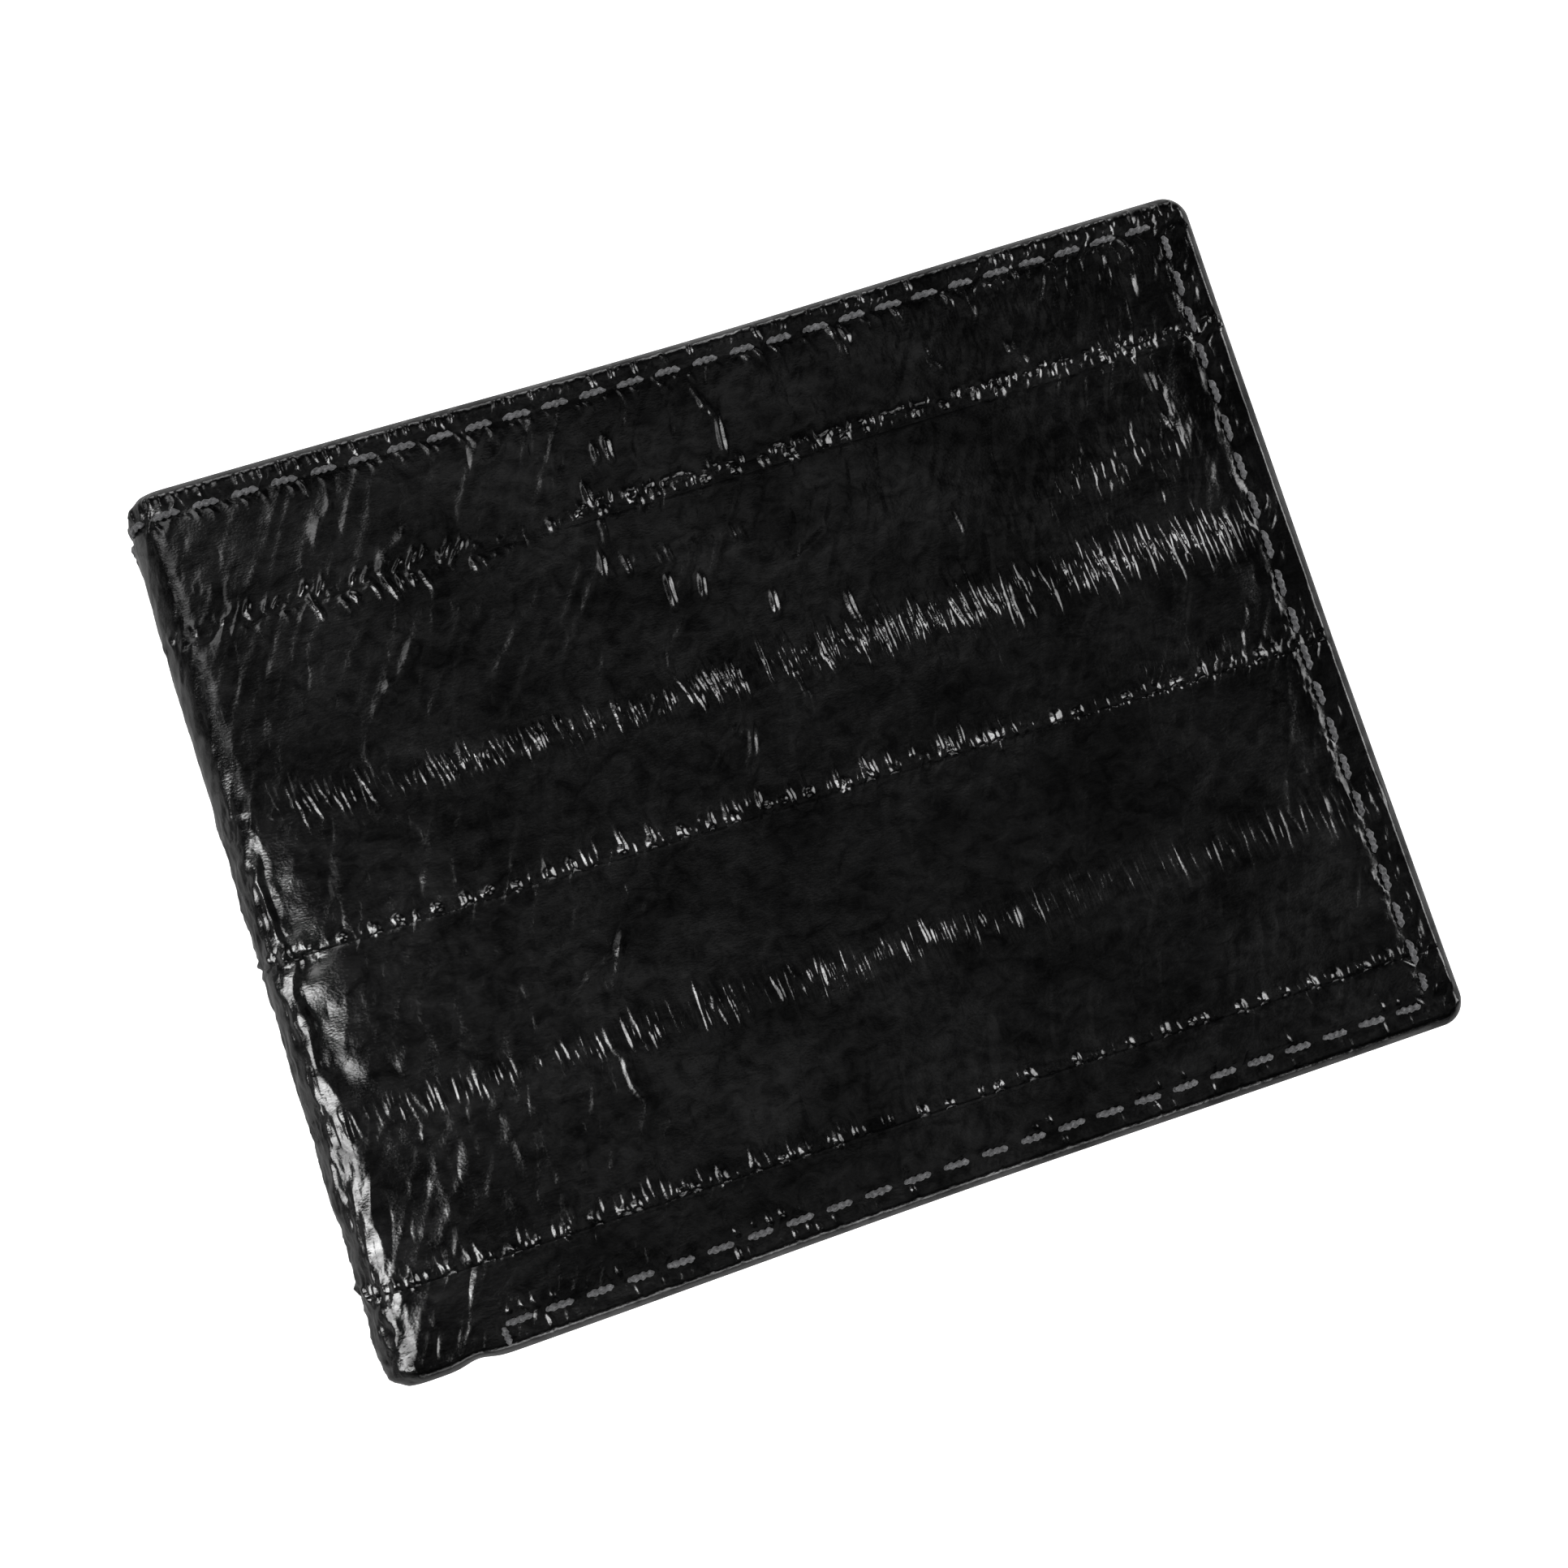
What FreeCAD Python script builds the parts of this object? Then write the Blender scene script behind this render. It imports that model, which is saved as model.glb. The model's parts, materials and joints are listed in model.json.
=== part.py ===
import FreeCAD, Part

"""Bifold wallet, closed and lying on its back cover, as a parametric document.

Frame (millimetres): +X runs from the folded spine to the opening edge, +Y to the mouth of the
banknote compartment, +Z up. The origin is the centre of the back cover's outer face.

The outer skin is four parallel strips that run round the spine from one cover to the other. Every
layer that crosses the spine is cut along a 45 degree line inside each rounded corner, because the
wallet bends there: the back half, the spine and the front half are three rigid groups.
All layers bend round the same two centre lines, so they stay parallel.
"""
import math
import os

import Sketcher

V = FreeCAD.Vector

# ------------------------------------------------------------------ driving dimensions
CELLS = (
    ("closed_length", 112.0, "spine to opening edge"),
    ("closed_height", 89.0, "bottom edge to banknote mouth"),
    ("closed_thickness", 15.0, "back cover to front cover"),
    ("fold_radius", 5.0, "outer radius of each rounded spine corner"),
    ("fold_clearance", 1.0, "degrees left free each side of a bend line"),
    ("corner_radius", 2.5, "plan corner of the covers"),
    ("skin", 0.8, "strip skin"),
    ("interlining", 0.4, "stiffening board"),
    ("lining", 0.3, "banknote compartment lining"),
    ("bill_gap", 1.2, "room for banknotes"),
    ("panel", 0.5, "inner panel that carries the pockets"),
    ("seam_first", 14.9, "mouth edge to the first strip seam"),
    ("strip_width", 32.6, "seam to seam"),
    ("seam_gap", 0.1, "clearance between neighbouring strips"),
    ("lining_inset", 1.0, "cover edge to interlining and lining"),
    ("panel_inset", 1.5, "cover edge to inner panel"),
    ("rim_width", 3.5, "panel's sewn rim, which closes the banknote compartment"),
    ("mouth_drop", 6.0, "cover top edge down to the inner panel's top edge"),
    ("pocket_leather", 0.5, "pocket front"),
    ("card_gap", 0.85, "room behind a pocket front for one card"),
    ("id_gap", 1.1, "room behind the window pocket's frame"),
    ("pocket_start", 7.5, "spine face to the pocket stack"),
    ("recess_width", 87.6, "card width and play"),
    ("recess_depth", 46.5, "slot edge down to the card's bottom"),
    ("slot_low", 50.5, "cover bottom edge up to the lowest slot edge"),
    ("slot_step", 11.0, "one slot edge to the next"),
    ("window_width", 74.0, "clear opening of the window pocket"),
    ("window_height", 37.0, "clear opening of the window pocket"),
    ("window_sheet", 0.25, "clear sheet"),
    ("window_drop", 2.0, "window's centre below the card's centre"),
    ("sheet_margin", 2.5, "clear sheet's overlap behind its frame"),
    ("thumb_radius", 9.0, "thumb notch of the window pocket"),
    ("thumb_rise", 5.0, "slot edge up to the thumb notch's centre"),
    ("stitch_inset", 3.0, "cover edge to the stitch row"),
    ("stitch_pitch", 3.95, "one stitch to the next"),
    ("stitch_length", 2.6, "length on the surface"),
    ("thread_radius", 0.28, "sewing thread"),
    ("groove_width", 0.9, "stitch groove"),
    ("groove_depth", 0.6, "stitch groove"),
    ("unsewn_bottom", 12.0, "spine face to the first stitch of the bottom row"),
    ("fold_row_inset", 2.5, "pocket stack's fold side edge to its stitch row"),
)
SIZE = {alias: value for alias, value, _ in CELLS}

# ------------------------------------------------------------------ places, as sheet expressions
LEFT = "(-dims.closed_length / 2)"
RIGHT = "(dims.closed_length / 2)"
TOP = "(dims.closed_height / 2)"
BOTTOM = "(-dims.closed_height / 2)"
BEND_X = f"({LEFT} + dims.fold_radius)"
LOW_BEND_Z = "dims.fold_radius"
HIGH_BEND_Z = "(dims.closed_thickness - dims.fold_radius)"
BEND_ANGLE = "(45 - dims.fold_clearance)"

INTERLINING_Z = "dims.skin"
LINING_Z = f"({INTERLINING_Z} + dims.interlining)"
PANEL_Z = f"({LINING_Z} + dims.lining + dims.bill_gap)"
POCKET_Z = f"({PANEL_Z} + dims.panel)"
TURNED_Z = f"({LINING_Z} + dims.lining)"
POCKET_PITCH = "(dims.pocket_leather + dims.card_gap)"

STACK_LEFT = f"({LEFT} + dims.pocket_start)"
STACK_RIGHT = f"({RIGHT} - dims.panel_inset)"
STACK_BOTTOM = f"({BOTTOM} + dims.panel_inset)"
STACK_MID = f"(({STACK_LEFT} + {STACK_RIGHT}) / 2)"

SEWN_LOW = f"({BOTTOM} + dims.stitch_inset - dims.groove_width / 2)"
FOLD_ROW_X = f"({STACK_LEFT} + dims.fold_row_inset - dims.groove_width / 2)"

STRIP_COUNT = 4
CARD_SLOTS = 3


def strip_edges(index):
    """The bottom and top edges of a strip, counted from 1 at the mouth edge."""
    top = TOP if index == 1 else f"({seam(index - 1)} - dims.seam_gap / 2)"
    bottom = BOTTOM if index == STRIP_COUNT else f"({seam(index)} + dims.seam_gap / 2)"
    return bottom, top


def seam(index):
    return f"({TOP} - dims.seam_first - {index - 1} * dims.strip_width)"


def slot_edge(level):
    """The height of a slot's edge, where level 1 is the lowest slot."""
    return f"({BOTTOM} + dims.slot_low + {level - 1} * dims.slot_step)"


# ------------------------------------------------------------------ document helpers
def make_sheet(doc):
    sheet = doc.addObject("Spreadsheet::Sheet", "dims")
    for row, (alias, value, note) in enumerate(CELLS, 1):
        sheet.set(f"A{row}", alias)
        sheet.set(f"B{row}", str(value))
        sheet.setAlias(f"B{row}", alias)
        sheet.set(f"C{row}", note)
    doc.recompute()
    return sheet


def new_body(doc, label):
    body = doc.addObject("PartDesign::Body", label)
    body.Label = label
    body.Placement = FreeCAD.Placement()
    return body


def origin_plane(body, role):
    return next(f for f in body.Origin.OriginFeatures if f.Role == role)


def rectangle(body, name, role, x, y, width, height, offset=("0", "0", "0")):
    """A constrained rectangle sketch on an origin plane; every size is an expression."""
    sketch = body.newObject("Sketcher::SketchObject", f"{body.Label}_{name}")
    sketch.AttachmentSupport = (origin_plane(body, role), [""])
    sketch.MapMode = "FlatFace"
    corners = [V(0, 0, 0), V(1, 0, 0), V(1, 1, 0), V(0, 1, 0)]
    for start, end in zip(corners, corners[1:] + corners[:1], strict=True):
        sketch.addGeometry(Part.LineSegment(start, end), False)
    for edge in range(4):
        sketch.addConstraint(Sketcher.Constraint("Coincident", edge, 2, (edge + 1) % 4, 1))
    for edge, kind in enumerate(("Horizontal", "Vertical", "Horizontal", "Vertical")):
        sketch.addConstraint(Sketcher.Constraint(kind, edge))
    sizes = (
        ("width", Sketcher.Constraint("DistanceX", 0, 1, 0, 2, 1.0), width),
        ("height", Sketcher.Constraint("DistanceY", 1, 1, 1, 2, 1.0), height),
        ("left", Sketcher.Constraint("DistanceX", 0, 1, 0.0), x),
        ("bottom", Sketcher.Constraint("DistanceY", 0, 1, 0.0), y),
    )
    for label, constraint, expression in sizes:
        index = sketch.addConstraint(constraint)
        sketch.renameConstraint(index, label)
        sketch.setExpression(f"Constraints.{label}", expression)
    for axis, expression in zip("xyz", offset, strict=True):
        sketch.setExpression(f"AttachmentOffset.Base.{axis}", expression)
    return sketch


def circle(body, name, x, y, radius, z):
    """A constrained circle sketch, parallel to the covers."""
    sketch = body.newObject("Sketcher::SketchObject", f"{body.Label}_{name}")
    sketch.AttachmentSupport = (origin_plane(body, "XY_Plane"), [""])
    sketch.MapMode = "FlatFace"
    sketch.addGeometry(Part.Circle(V(0, 0, 0), V(0, 0, 1), 1), False)
    sketch.addConstraint(Sketcher.Constraint("Coincident", 0, 3, -1, 1))
    index = sketch.addConstraint(Sketcher.Constraint("Radius", 0, 1.0))
    sketch.renameConstraint(index, "radius")
    sketch.setExpression("Constraints.radius", radius)
    for axis, expression in zip("xyz", (x, y, z), strict=True):
        sketch.setExpression(f"AttachmentOffset.Base.{axis}", expression)
    return sketch


def pad(body, sketch, length, name):
    feature = body.newObject("PartDesign::Pad", f"{body.Label}_{name}")
    feature.Profile = sketch
    feature.setExpression("Length", length)
    return feature


def pocket(doc, body, sketch, depth, name, upwards):
    """A cut from the sketch's plane, upwards or downwards; it must remove material."""
    doc.recompute()
    before = body.Shape.Volume
    feature = body.newObject("PartDesign::Pocket", f"{body.Label}_{name}")
    feature.Profile = sketch
    feature.setExpression("Length", depth)
    feature.Reversed = upwards
    doc.recompute()
    if not body.Shape.Volume < before - 1e-6:
        raise RuntimeError(f"{body.Label}: {name} cut nothing")
    return feature


def revolve(body, sketch, axis, reverse, name):
    feature = body.newObject("PartDesign::Revolution", f"{body.Label}_{name}")
    feature.Profile = sketch
    feature.ReferenceAxis = (sketch, [axis])
    feature.setExpression("Angle", BEND_ANGLE)
    feature.Reversed = reverse
    return feature


def round_corners(doc, body, name, corners, radius):
    """Fillets the vertical edges that stand at the given plan corners."""
    doc.recompute()
    names = []
    for number, edge in enumerate(body.Shape.Edges, 1):
        first, last = edge.Vertexes[0].Point, edge.Vertexes[-1].Point
        upright = math.hypot(first.x - last.x, first.y - last.y) < 1e-6
        at_corner = any(math.hypot(first.x - x, first.y - y) < 1e-3 for x, y in corners)
        if upright and at_corner:
            names.append(f"Edge{number}")
    if len(names) < len(corners):
        raise RuntimeError(f"{body.Label}: found {len(names)} corner edges")
    base = body.Tip
    feature = body.newObject("PartDesign::Fillet", f"{body.Label}_{name}")
    feature.Base = (base, names)
    feature.setExpression("Radius", radius)
    return feature


def half_z(side, low, thickness):
    """The lower face of a plate: front parts are back parts mirrored about mid-thickness."""
    if side == "back":
        return low
    return f"(dims.closed_thickness - {low} - {thickness})"


# ------------------------------------------------------------------ layers that bend at the spine
def plate(body, side, level, thickness, right, bottom, top):
    """The flat of a cover layer, from the spine's bend line to its right edge."""
    outline = rectangle(
        body, "outline", "XY_Plane", BEND_X, bottom,
        f"{right} - {BEND_X}", f"{top} - {bottom}", ("0", "0", half_z(side, level, thickness)),
    )
    return pad(body, outline, thickness, "plate")


def cover_bend(body, side, level, thickness, bottom, top):
    """A cover layer's share of the rounded spine corner."""
    outer_radius = f"(dims.fold_radius - {level})"
    centre_z = LOW_BEND_Z if side == "back" else HIGH_BEND_Z
    start = f"-{outer_radius}" if side == "back" else f"({outer_radius} - {thickness})"
    section = rectangle(
        body, "section", "YZ_Plane", bottom, start,
        f"{top} - {bottom}", thickness, ("0", centre_z, BEND_X),
    )
    return revolve(body, section, "H_Axis", side == "front", "bend")


def spine_layer(doc, label, level, thickness, bottom, top):
    """One layer of the spine: a flat wall, and its share of both rounded corners."""
    body = new_body(doc, label)
    wall = rectangle(
        body, "outline", "YZ_Plane", bottom, LOW_BEND_Z,
        f"{top} - {bottom}", f"{HIGH_BEND_Z} - {LOW_BEND_Z}", ("0", "0", f"({LEFT} + {level})"),
    )
    pad(body, wall, thickness, "wall")
    for name, centre_z, reverse in (("low", LOW_BEND_Z, True), ("high", HIGH_BEND_Z, False)):
        section = rectangle(
            body, f"{name}_section", "XY_Plane", f"-(dims.fold_radius - {level})", bottom,
            thickness, f"{top} - {bottom}", (BEND_X, "0", centre_z),
        )
        revolve(body, section, "V_Axis", reverse, f"{name}_bend")
    return body


# ------------------------------------------------------------------ outer skin
def hollow(doc, body, side, index, bottom, top):
    """Sinks the inner face inside the skin's turned edge, where the backing layers lie."""
    depth = "(dims.interlining + dims.lining)"
    low = f"({bottom} + dims.skin)" if index == STRIP_COUNT else bottom
    high = f"({top} - dims.skin)" if index == 1 else top
    inner_face = TURNED_Z if side == "back" else f"(dims.closed_thickness - {TURNED_Z})"
    room = rectangle(
        body, "room", "XY_Plane", BEND_X, low,
        f"{RIGHT} - dims.skin - {BEND_X}", f"{high} - {low}", ("0", "0", inner_face),
    )
    pocket(doc, body, room, depth, "backing_room", side == "front")


def stitch_grooves(doc, body, side, index, bottom, top):
    """Grooves in the outer face where the perimeter thread lies below the surface."""
    face = "0" if side == "back" else "dims.closed_thickness"
    row_x = f"({RIGHT} - dims.stitch_inset)"
    half = "dims.groove_width / 2"
    low = f"({BOTTOM} + dims.stitch_inset - {half})" if index == STRIP_COUNT else bottom
    high = f"({TOP} - dims.stitch_inset + {half})" if index == 1 else top
    upright = rectangle(
        body, "end_row", "XY_Plane", f"{row_x} - {half}", low,
        "dims.groove_width", f"{high} - {low}", ("0", "0", face),
    )
    pocket(doc, body, upright, "dims.groove_depth", "end_groove", side == "back")
    if index in (1, STRIP_COUNT):
        start = BEND_X if index == 1 else f"({LEFT} + dims.unsewn_bottom)"
        row_y = high if index == 1 else f"({low} + dims.groove_width)"
        along = rectangle(
            body, "edge_row", "XY_Plane", start, f"{row_y} - dims.groove_width",
            f"{row_x} - {half} - {start}", "dims.groove_width", ("0", "0", face),
        )
        pocket(doc, body, along, "dims.groove_depth", "edge_groove", side == "back")


def cover_strip(doc, side, index):
    bottom, top = strip_edges(index)
    body = new_body(doc, f"{side}_skin_strip_{index}")
    plate(body, side, "0", TURNED_Z, RIGHT, bottom, top)
    corner_x, corner_y = SIZE["closed_length"] / 2, SIZE["closed_height"] / 2
    facing = {1: 1, STRIP_COUNT: -1}.get(index)
    if facing:
        round_corners(doc, body, "corner", [(corner_x, facing * corner_y)], "dims.corner_radius")
    hollow(doc, body, side, index, bottom, top)
    if facing:
        inner = [(corner_x - SIZE["skin"], facing * (corner_y - SIZE["skin"]))]
        round_corners(doc, body, "inner_corner", inner, "(dims.corner_radius - dims.skin)")
    cover_bend(body, side, "0", "dims.skin", bottom, top)
    stitch_grooves(doc, body, side, index, bottom, top)
    return body


def spine_strip(doc, index):
    bottom, top = strip_edges(index)
    body = spine_layer(doc, f"spine_skin_strip_{index}", "0", "dims.skin", bottom, top)
    if index == 1:
        row = rectangle(
            body, "row", "YZ_Plane", f"{TOP} - dims.stitch_inset - dims.groove_width / 2",
            LOW_BEND_Z, "dims.groove_width", f"{HIGH_BEND_Z} - {LOW_BEND_Z}", ("0", "0", LEFT),
        )
        pocket(doc, body, row, "dims.groove_depth", "groove", True)
    return body


# ------------------------------------------------------------------ hidden and lining layers
def opening_corners(inset, drop):
    """Plan corners at the opening edge of a layer inset from the cover's edges."""
    x = SIZE["closed_length"] / 2 - inset
    y = SIZE["closed_height"] / 2
    return [(x, y - drop), (x, inset - y)]


def backing_layers(doc, side):
    inset = "dims.lining_inset"
    bottom, top, right = f"({BOTTOM} + {inset})", f"({TOP} - {inset})", f"({RIGHT} - {inset})"
    for name, level, thickness in (
        ("interlining", INTERLINING_Z, "dims.interlining"),
        ("bill_lining", LINING_Z, "dims.lining"),
    ):
        body = new_body(doc, f"{side}_{name}")
        plate(body, side, level, thickness, right, bottom, top)
        corners = opening_corners(SIZE["lining_inset"], SIZE["lining_inset"])
        round_corners(doc, body, "corners", corners, f"(dims.corner_radius - {inset})")
        cover_bend(body, side, level, thickness, bottom, top)


def inner_panel(doc, side):
    """The panel that carries the pockets; its sewn rims close the banknote compartment."""
    top = f"({TOP} - dims.mouth_drop)"
    body = new_body(doc, f"{side}_inner_panel")
    plate(body, side, PANEL_Z, "dims.panel", STACK_RIGHT, STACK_BOTTOM, top)
    rim_z = half_z(side, TURNED_Z, "dims.bill_gap")
    sewn_from = f"({LEFT} + dims.unsewn_bottom)"
    rims = (
        ("end_rim", f"({STACK_RIGHT} - dims.rim_width)", "dims.rim_width", f"{top} - {STACK_BOTTOM}"),
        ("bottom_rim", sewn_from, f"{STACK_RIGHT} - {sewn_from}", "dims.rim_width"),
    )
    for name, left, width, height in rims:
        outline = rectangle(
            body, name, "XY_Plane", left, STACK_BOTTOM, width, height, ("0", "0", rim_z)
        )
        pad(body, outline, "dims.bill_gap", f"{name}_pad")
    corners = opening_corners(SIZE["panel_inset"], SIZE["mouth_drop"])
    corners[1] = (corners[1][0], SIZE["panel_inset"] - SIZE["closed_height"] / 2)
    round_corners(doc, body, "corners", corners, "(dims.corner_radius - dims.panel_inset)")
    cover_bend(body, side, PANEL_Z, "dims.panel", STACK_BOTTOM, top)
    face = POCKET_Z if side == "back" else f"(dims.closed_thickness - {POCKET_Z})"
    inner_groove(doc, body, side, face, end_row(top))


def spine_layers(doc):
    inset = "dims.lining_inset"
    bottom, top = f"({BOTTOM} + {inset})", f"({TOP} - {inset})"
    spine_layer(doc, "spine_interlining", INTERLINING_Z, "dims.interlining", bottom, top)
    spine_layer(doc, "spine_bill_lining", LINING_Z, "dims.lining", bottom, top)
    panel_top = f"({TOP} - dims.mouth_drop)"
    spine_layer(doc, "spine_inner_panel", PANEL_Z, "dims.panel", STACK_BOTTOM, panel_top)


# ------------------------------------------------------------------ card pockets
def inner_groove(doc, body, side, face, row):
    """A stitch groove sunk into a face that looks towards the other half of the wallet."""
    name, x, y, width, height = row
    outline = rectangle(body, name, "XY_Plane", x, y, width, height, ("0", "0", face))
    pocket(doc, body, outline, "dims.groove_depth", f"{name}_groove", side == "front")


def end_row(top):
    """The groove along the opening edge, up to a pocket's or the panel's own top edge."""
    x = f"({RIGHT} - dims.stitch_inset - dims.groove_width / 2)"
    return "end_row", x, SEWN_LOW, "dims.groove_width", f"{top} - {SEWN_LOW}"


def fold_row(top):
    """The groove beside the spine that sews the pocket stack to its panel."""
    return "fold_row", FOLD_ROW_X, SEWN_LOW, "dims.groove_width", f"{top} - {SEWN_LOW}"


def bottom_row():
    start = f"({FOLD_ROW_X} + dims.groove_width)"
    width = f"{RIGHT} - dims.stitch_inset - dims.groove_width / 2 - {start}"
    return "bottom_row", start, SEWN_LOW, width, "dims.groove_width"


def pocket_front(doc, side, label, order, level, gap):
    """A pocket front with sewn rims; order counts outwards from the inner panel, level is its
    slot edge. The recess in its rear face is the card's room, open at the slot edge."""
    body = new_body(doc, label)
    thickness = f"(dims.pocket_leather + {gap})"
    rear = f"({POCKET_Z} + {order - 1} * {POCKET_PITCH})"
    low = half_z(side, rear, thickness)
    top = slot_edge(level)
    outline = rectangle(
        body, "outline", "XY_Plane", STACK_LEFT, STACK_BOTTOM,
        f"{STACK_RIGHT} - {STACK_LEFT}", f"{top} - {STACK_BOTTOM}", ("0", "0", low),
    )
    pad(body, outline, thickness, "plate")
    faces = (low, f"({low} + {thickness})")
    rear_face, inner_face = faces if side == "back" else faces[::-1]
    recess = rectangle(
        body, "recess", "XY_Plane", f"{STACK_MID} - dims.recess_width / 2",
        f"{top} - dims.recess_depth", "dims.recess_width", "dims.recess_depth",
        ("0", "0", rear_face),
    )
    pocket(doc, body, recess, gap, "card_recess", side == "back")
    rows = [end_row(top), fold_row(top)]
    if order == CARD_SLOTS:
        rows.append(bottom_row())
    for row in rows:
        inner_groove(doc, body, side, inner_face, row)
    return body, low


def round_pocket(doc, body):
    """Rounds the two lower corners, which follow the cover's own corner."""
    left = SIZE["pocket_start"] - SIZE["closed_length"] / 2
    right = SIZE["closed_length"] / 2 - SIZE["panel_inset"]
    y = SIZE["panel_inset"] - SIZE["closed_height"] / 2
    lower = [(left, y), (right, y)]
    round_corners(doc, body, "corners", lower, "(dims.corner_radius - dims.panel_inset)")


def card_pockets(doc):
    """Three card pockets inside the front cover, two and a window pocket inside the back."""
    for order in range(1, CARD_SLOTS + 1):
        level = CARD_SLOTS + 1 - order
        body, _ = pocket_front(doc, "front", f"front_card_pocket_{order}", order, level,
                               "dims.card_gap")
        round_pocket(doc, body)
    for order in range(1, CARD_SLOTS):
        level = CARD_SLOTS + 1 - order
        body, _ = pocket_front(doc, "back", f"back_card_pocket_{order}", order, level,
                               "dims.card_gap")
        round_pocket(doc, body)
    window_pocket(doc)


def window_pocket(doc):
    """The framed pocket for an identity card, its thumb notch, and its clear sheet."""
    body, low = pocket_front(doc, "back", "id_pocket_frame", CARD_SLOTS, 1, "dims.id_gap")
    top = slot_edge(1)
    centre_y = f"({top} - dims.recess_depth / 2 - dims.window_drop)"
    through = "(dims.pocket_leather + dims.id_gap)"
    opening = rectangle(
        body, "window", "XY_Plane", f"{STACK_MID} - dims.window_width / 2",
        f"{centre_y} - dims.window_height / 2", "dims.window_width", "dims.window_height",
        ("0", "0", low),
    )
    pocket(doc, body, opening, through, "window_cut", True)
    notch = circle(body, "notch", STACK_MID, f"{top} + dims.thumb_rise", "dims.thumb_radius", low)
    pocket(doc, body, notch, through, "thumb_notch", True)
    round_pocket(doc, body)

    sheet = new_body(doc, "id_window")
    outline = rectangle(
        sheet, "outline", "XY_Plane",
        f"{STACK_MID} - dims.window_width / 2 - dims.sheet_margin",
        f"{centre_y} - dims.window_height / 2 - dims.sheet_margin",
        "dims.window_width + 2 * dims.sheet_margin", "dims.window_height + 2 * dims.sheet_margin",
        ("0", "0", f"({low} + dims.id_gap - dims.window_sheet)"),
    )
    pad(sheet, outline, "dims.window_sheet", "sheet")


# ------------------------------------------------------------------ sewing thread
def stitch(start, end):
    """One surface stitch: a straight thread with rounded ends."""
    radius = SIZE["thread_radius"]
    along = end - start
    thread = Part.makeCylinder(radius, along.Length, start, along)
    for point in (start, end):
        thread = thread.fuse(Part.makeSphere(radius, point))
    return thread.removeSplitter()


def stitch_row(start, end):
    """Evenly spaced stitches between two points, never longer than the pitch allows."""
    along = end - start
    count = max(1, int(along.Length / SIZE["stitch_pitch"]))
    pitch = along.Length / count
    reach = SIZE["stitch_length"] / 2 - SIZE["thread_radius"]
    unit = along / along.Length
    centres = [start + unit * (pitch * (i + 0.5)) for i in range(count)]
    return [stitch(centre - unit * reach, centre + unit * reach) for centre in centres]


def perimeter_thread(doc, side):
    """The sewn rows of one cover: mouth edge, opening edge and bottom edge."""
    inset = SIZE["stitch_inset"]
    left = SIZE["fold_radius"] - SIZE["closed_length"] / 2
    right = SIZE["closed_length"] / 2 - inset
    high = SIZE["closed_height"] / 2 - inset
    depth = SIZE["groove_depth"] / 2
    z = depth if side == "back" else SIZE["closed_thickness"] - depth
    sewn_from = SIZE["unsewn_bottom"] - SIZE["closed_length"] / 2
    corner_room = SIZE["stitch_length"] / 4
    rows = (
        (V(left, high, z), V(right - corner_room, high, z)),
        (V(right, high - corner_room, z), V(right, corner_room - high, z)),
        (V(sewn_from, -high, z), V(right - corner_room, -high, z)),
    )
    threads = [thread for start, end in rows for thread in stitch_row(start, end)]
    return thread_group(doc, f"{side}_perimeter_stitching", threads)


def inner_thread(doc, side):
    """The same seam seen from inside, over the stepped pockets, with the row by the spine."""
    high = SIZE["closed_height"] / 2
    end_x = SIZE["closed_length"] / 2 - SIZE["stitch_inset"]
    fold_x = SIZE["pocket_start"] + SIZE["fold_row_inset"] - SIZE["closed_length"] / 2
    low_y = SIZE["stitch_inset"] - high
    edges = [low_y] + [SIZE["slot_low"] - high + i * SIZE["slot_step"] for i in range(CARD_SLOTS)]
    panel_face = sum(SIZE[n] for n in ("skin", "interlining", "lining", "bill_gap", "panel"))
    pitch = SIZE["pocket_leather"] + SIZE["card_gap"]
    faces = [panel_face + i * pitch for i in range(CARD_SLOTS, -1, -1)]
    if side == "back":
        faces[0] += SIZE["id_gap"] - SIZE["card_gap"]
    sunk = [face - SIZE["groove_depth"] / 2 for face in faces]
    levels = sunk if side == "back" else [SIZE["closed_thickness"] - z for z in sunk]
    corner_room = SIZE["stitch_length"] / 4
    threads = stitch_row(
        V(fold_x + corner_room, low_y, levels[0]), V(end_x - corner_room, low_y, levels[0])
    )
    edges[0] += corner_room
    for bottom, top, z in zip(edges, edges[1:], levels):
        threads += stitch_row(V(fold_x, bottom, z), V(fold_x, top, z))
    edges.append(high - SIZE["mouth_drop"])
    for bottom, top, z in zip(edges[:-1], edges[1:], levels, strict=True):
        threads += stitch_row(V(end_x, bottom, z), V(end_x, top, z))
    return thread_group(doc, f"{side}_inner_stitching", threads)


def spine_thread(doc):
    """The mouth row's stitch on the flat of the spine."""
    x = SIZE["groove_depth"] / 2 - SIZE["closed_length"] / 2
    y = SIZE["closed_height"] / 2 - SIZE["stitch_inset"]
    low, high = SIZE["fold_radius"], SIZE["closed_thickness"] - SIZE["fold_radius"]
    return thread_group(doc, "spine_stitching", stitch_row(V(x, y, low), V(x, y, high)))


def thread_group(doc, label, threads):
    feature = doc.addObject("Part::Feature", label)
    feature.Label = label
    feature.Shape = Part.makeCompound(threads)
    feature.Placement = FreeCAD.Placement()
    return feature


# ------------------------------------------------------------------ build and export
def build(doc):
    make_sheet(doc)
    for side in ("back", "front"):
        for index in range(1, STRIP_COUNT + 1):
            cover_strip(doc, side, index)
        backing_layers(doc, side)
        inner_panel(doc, side)
        perimeter_thread(doc, side)
        inner_thread(doc, side)
    for index in range(1, STRIP_COUNT + 1):
        spine_strip(doc, index)
    spine_layers(doc)
    spine_thread(doc)
    card_pockets(doc)
    doc.recompute()


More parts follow.
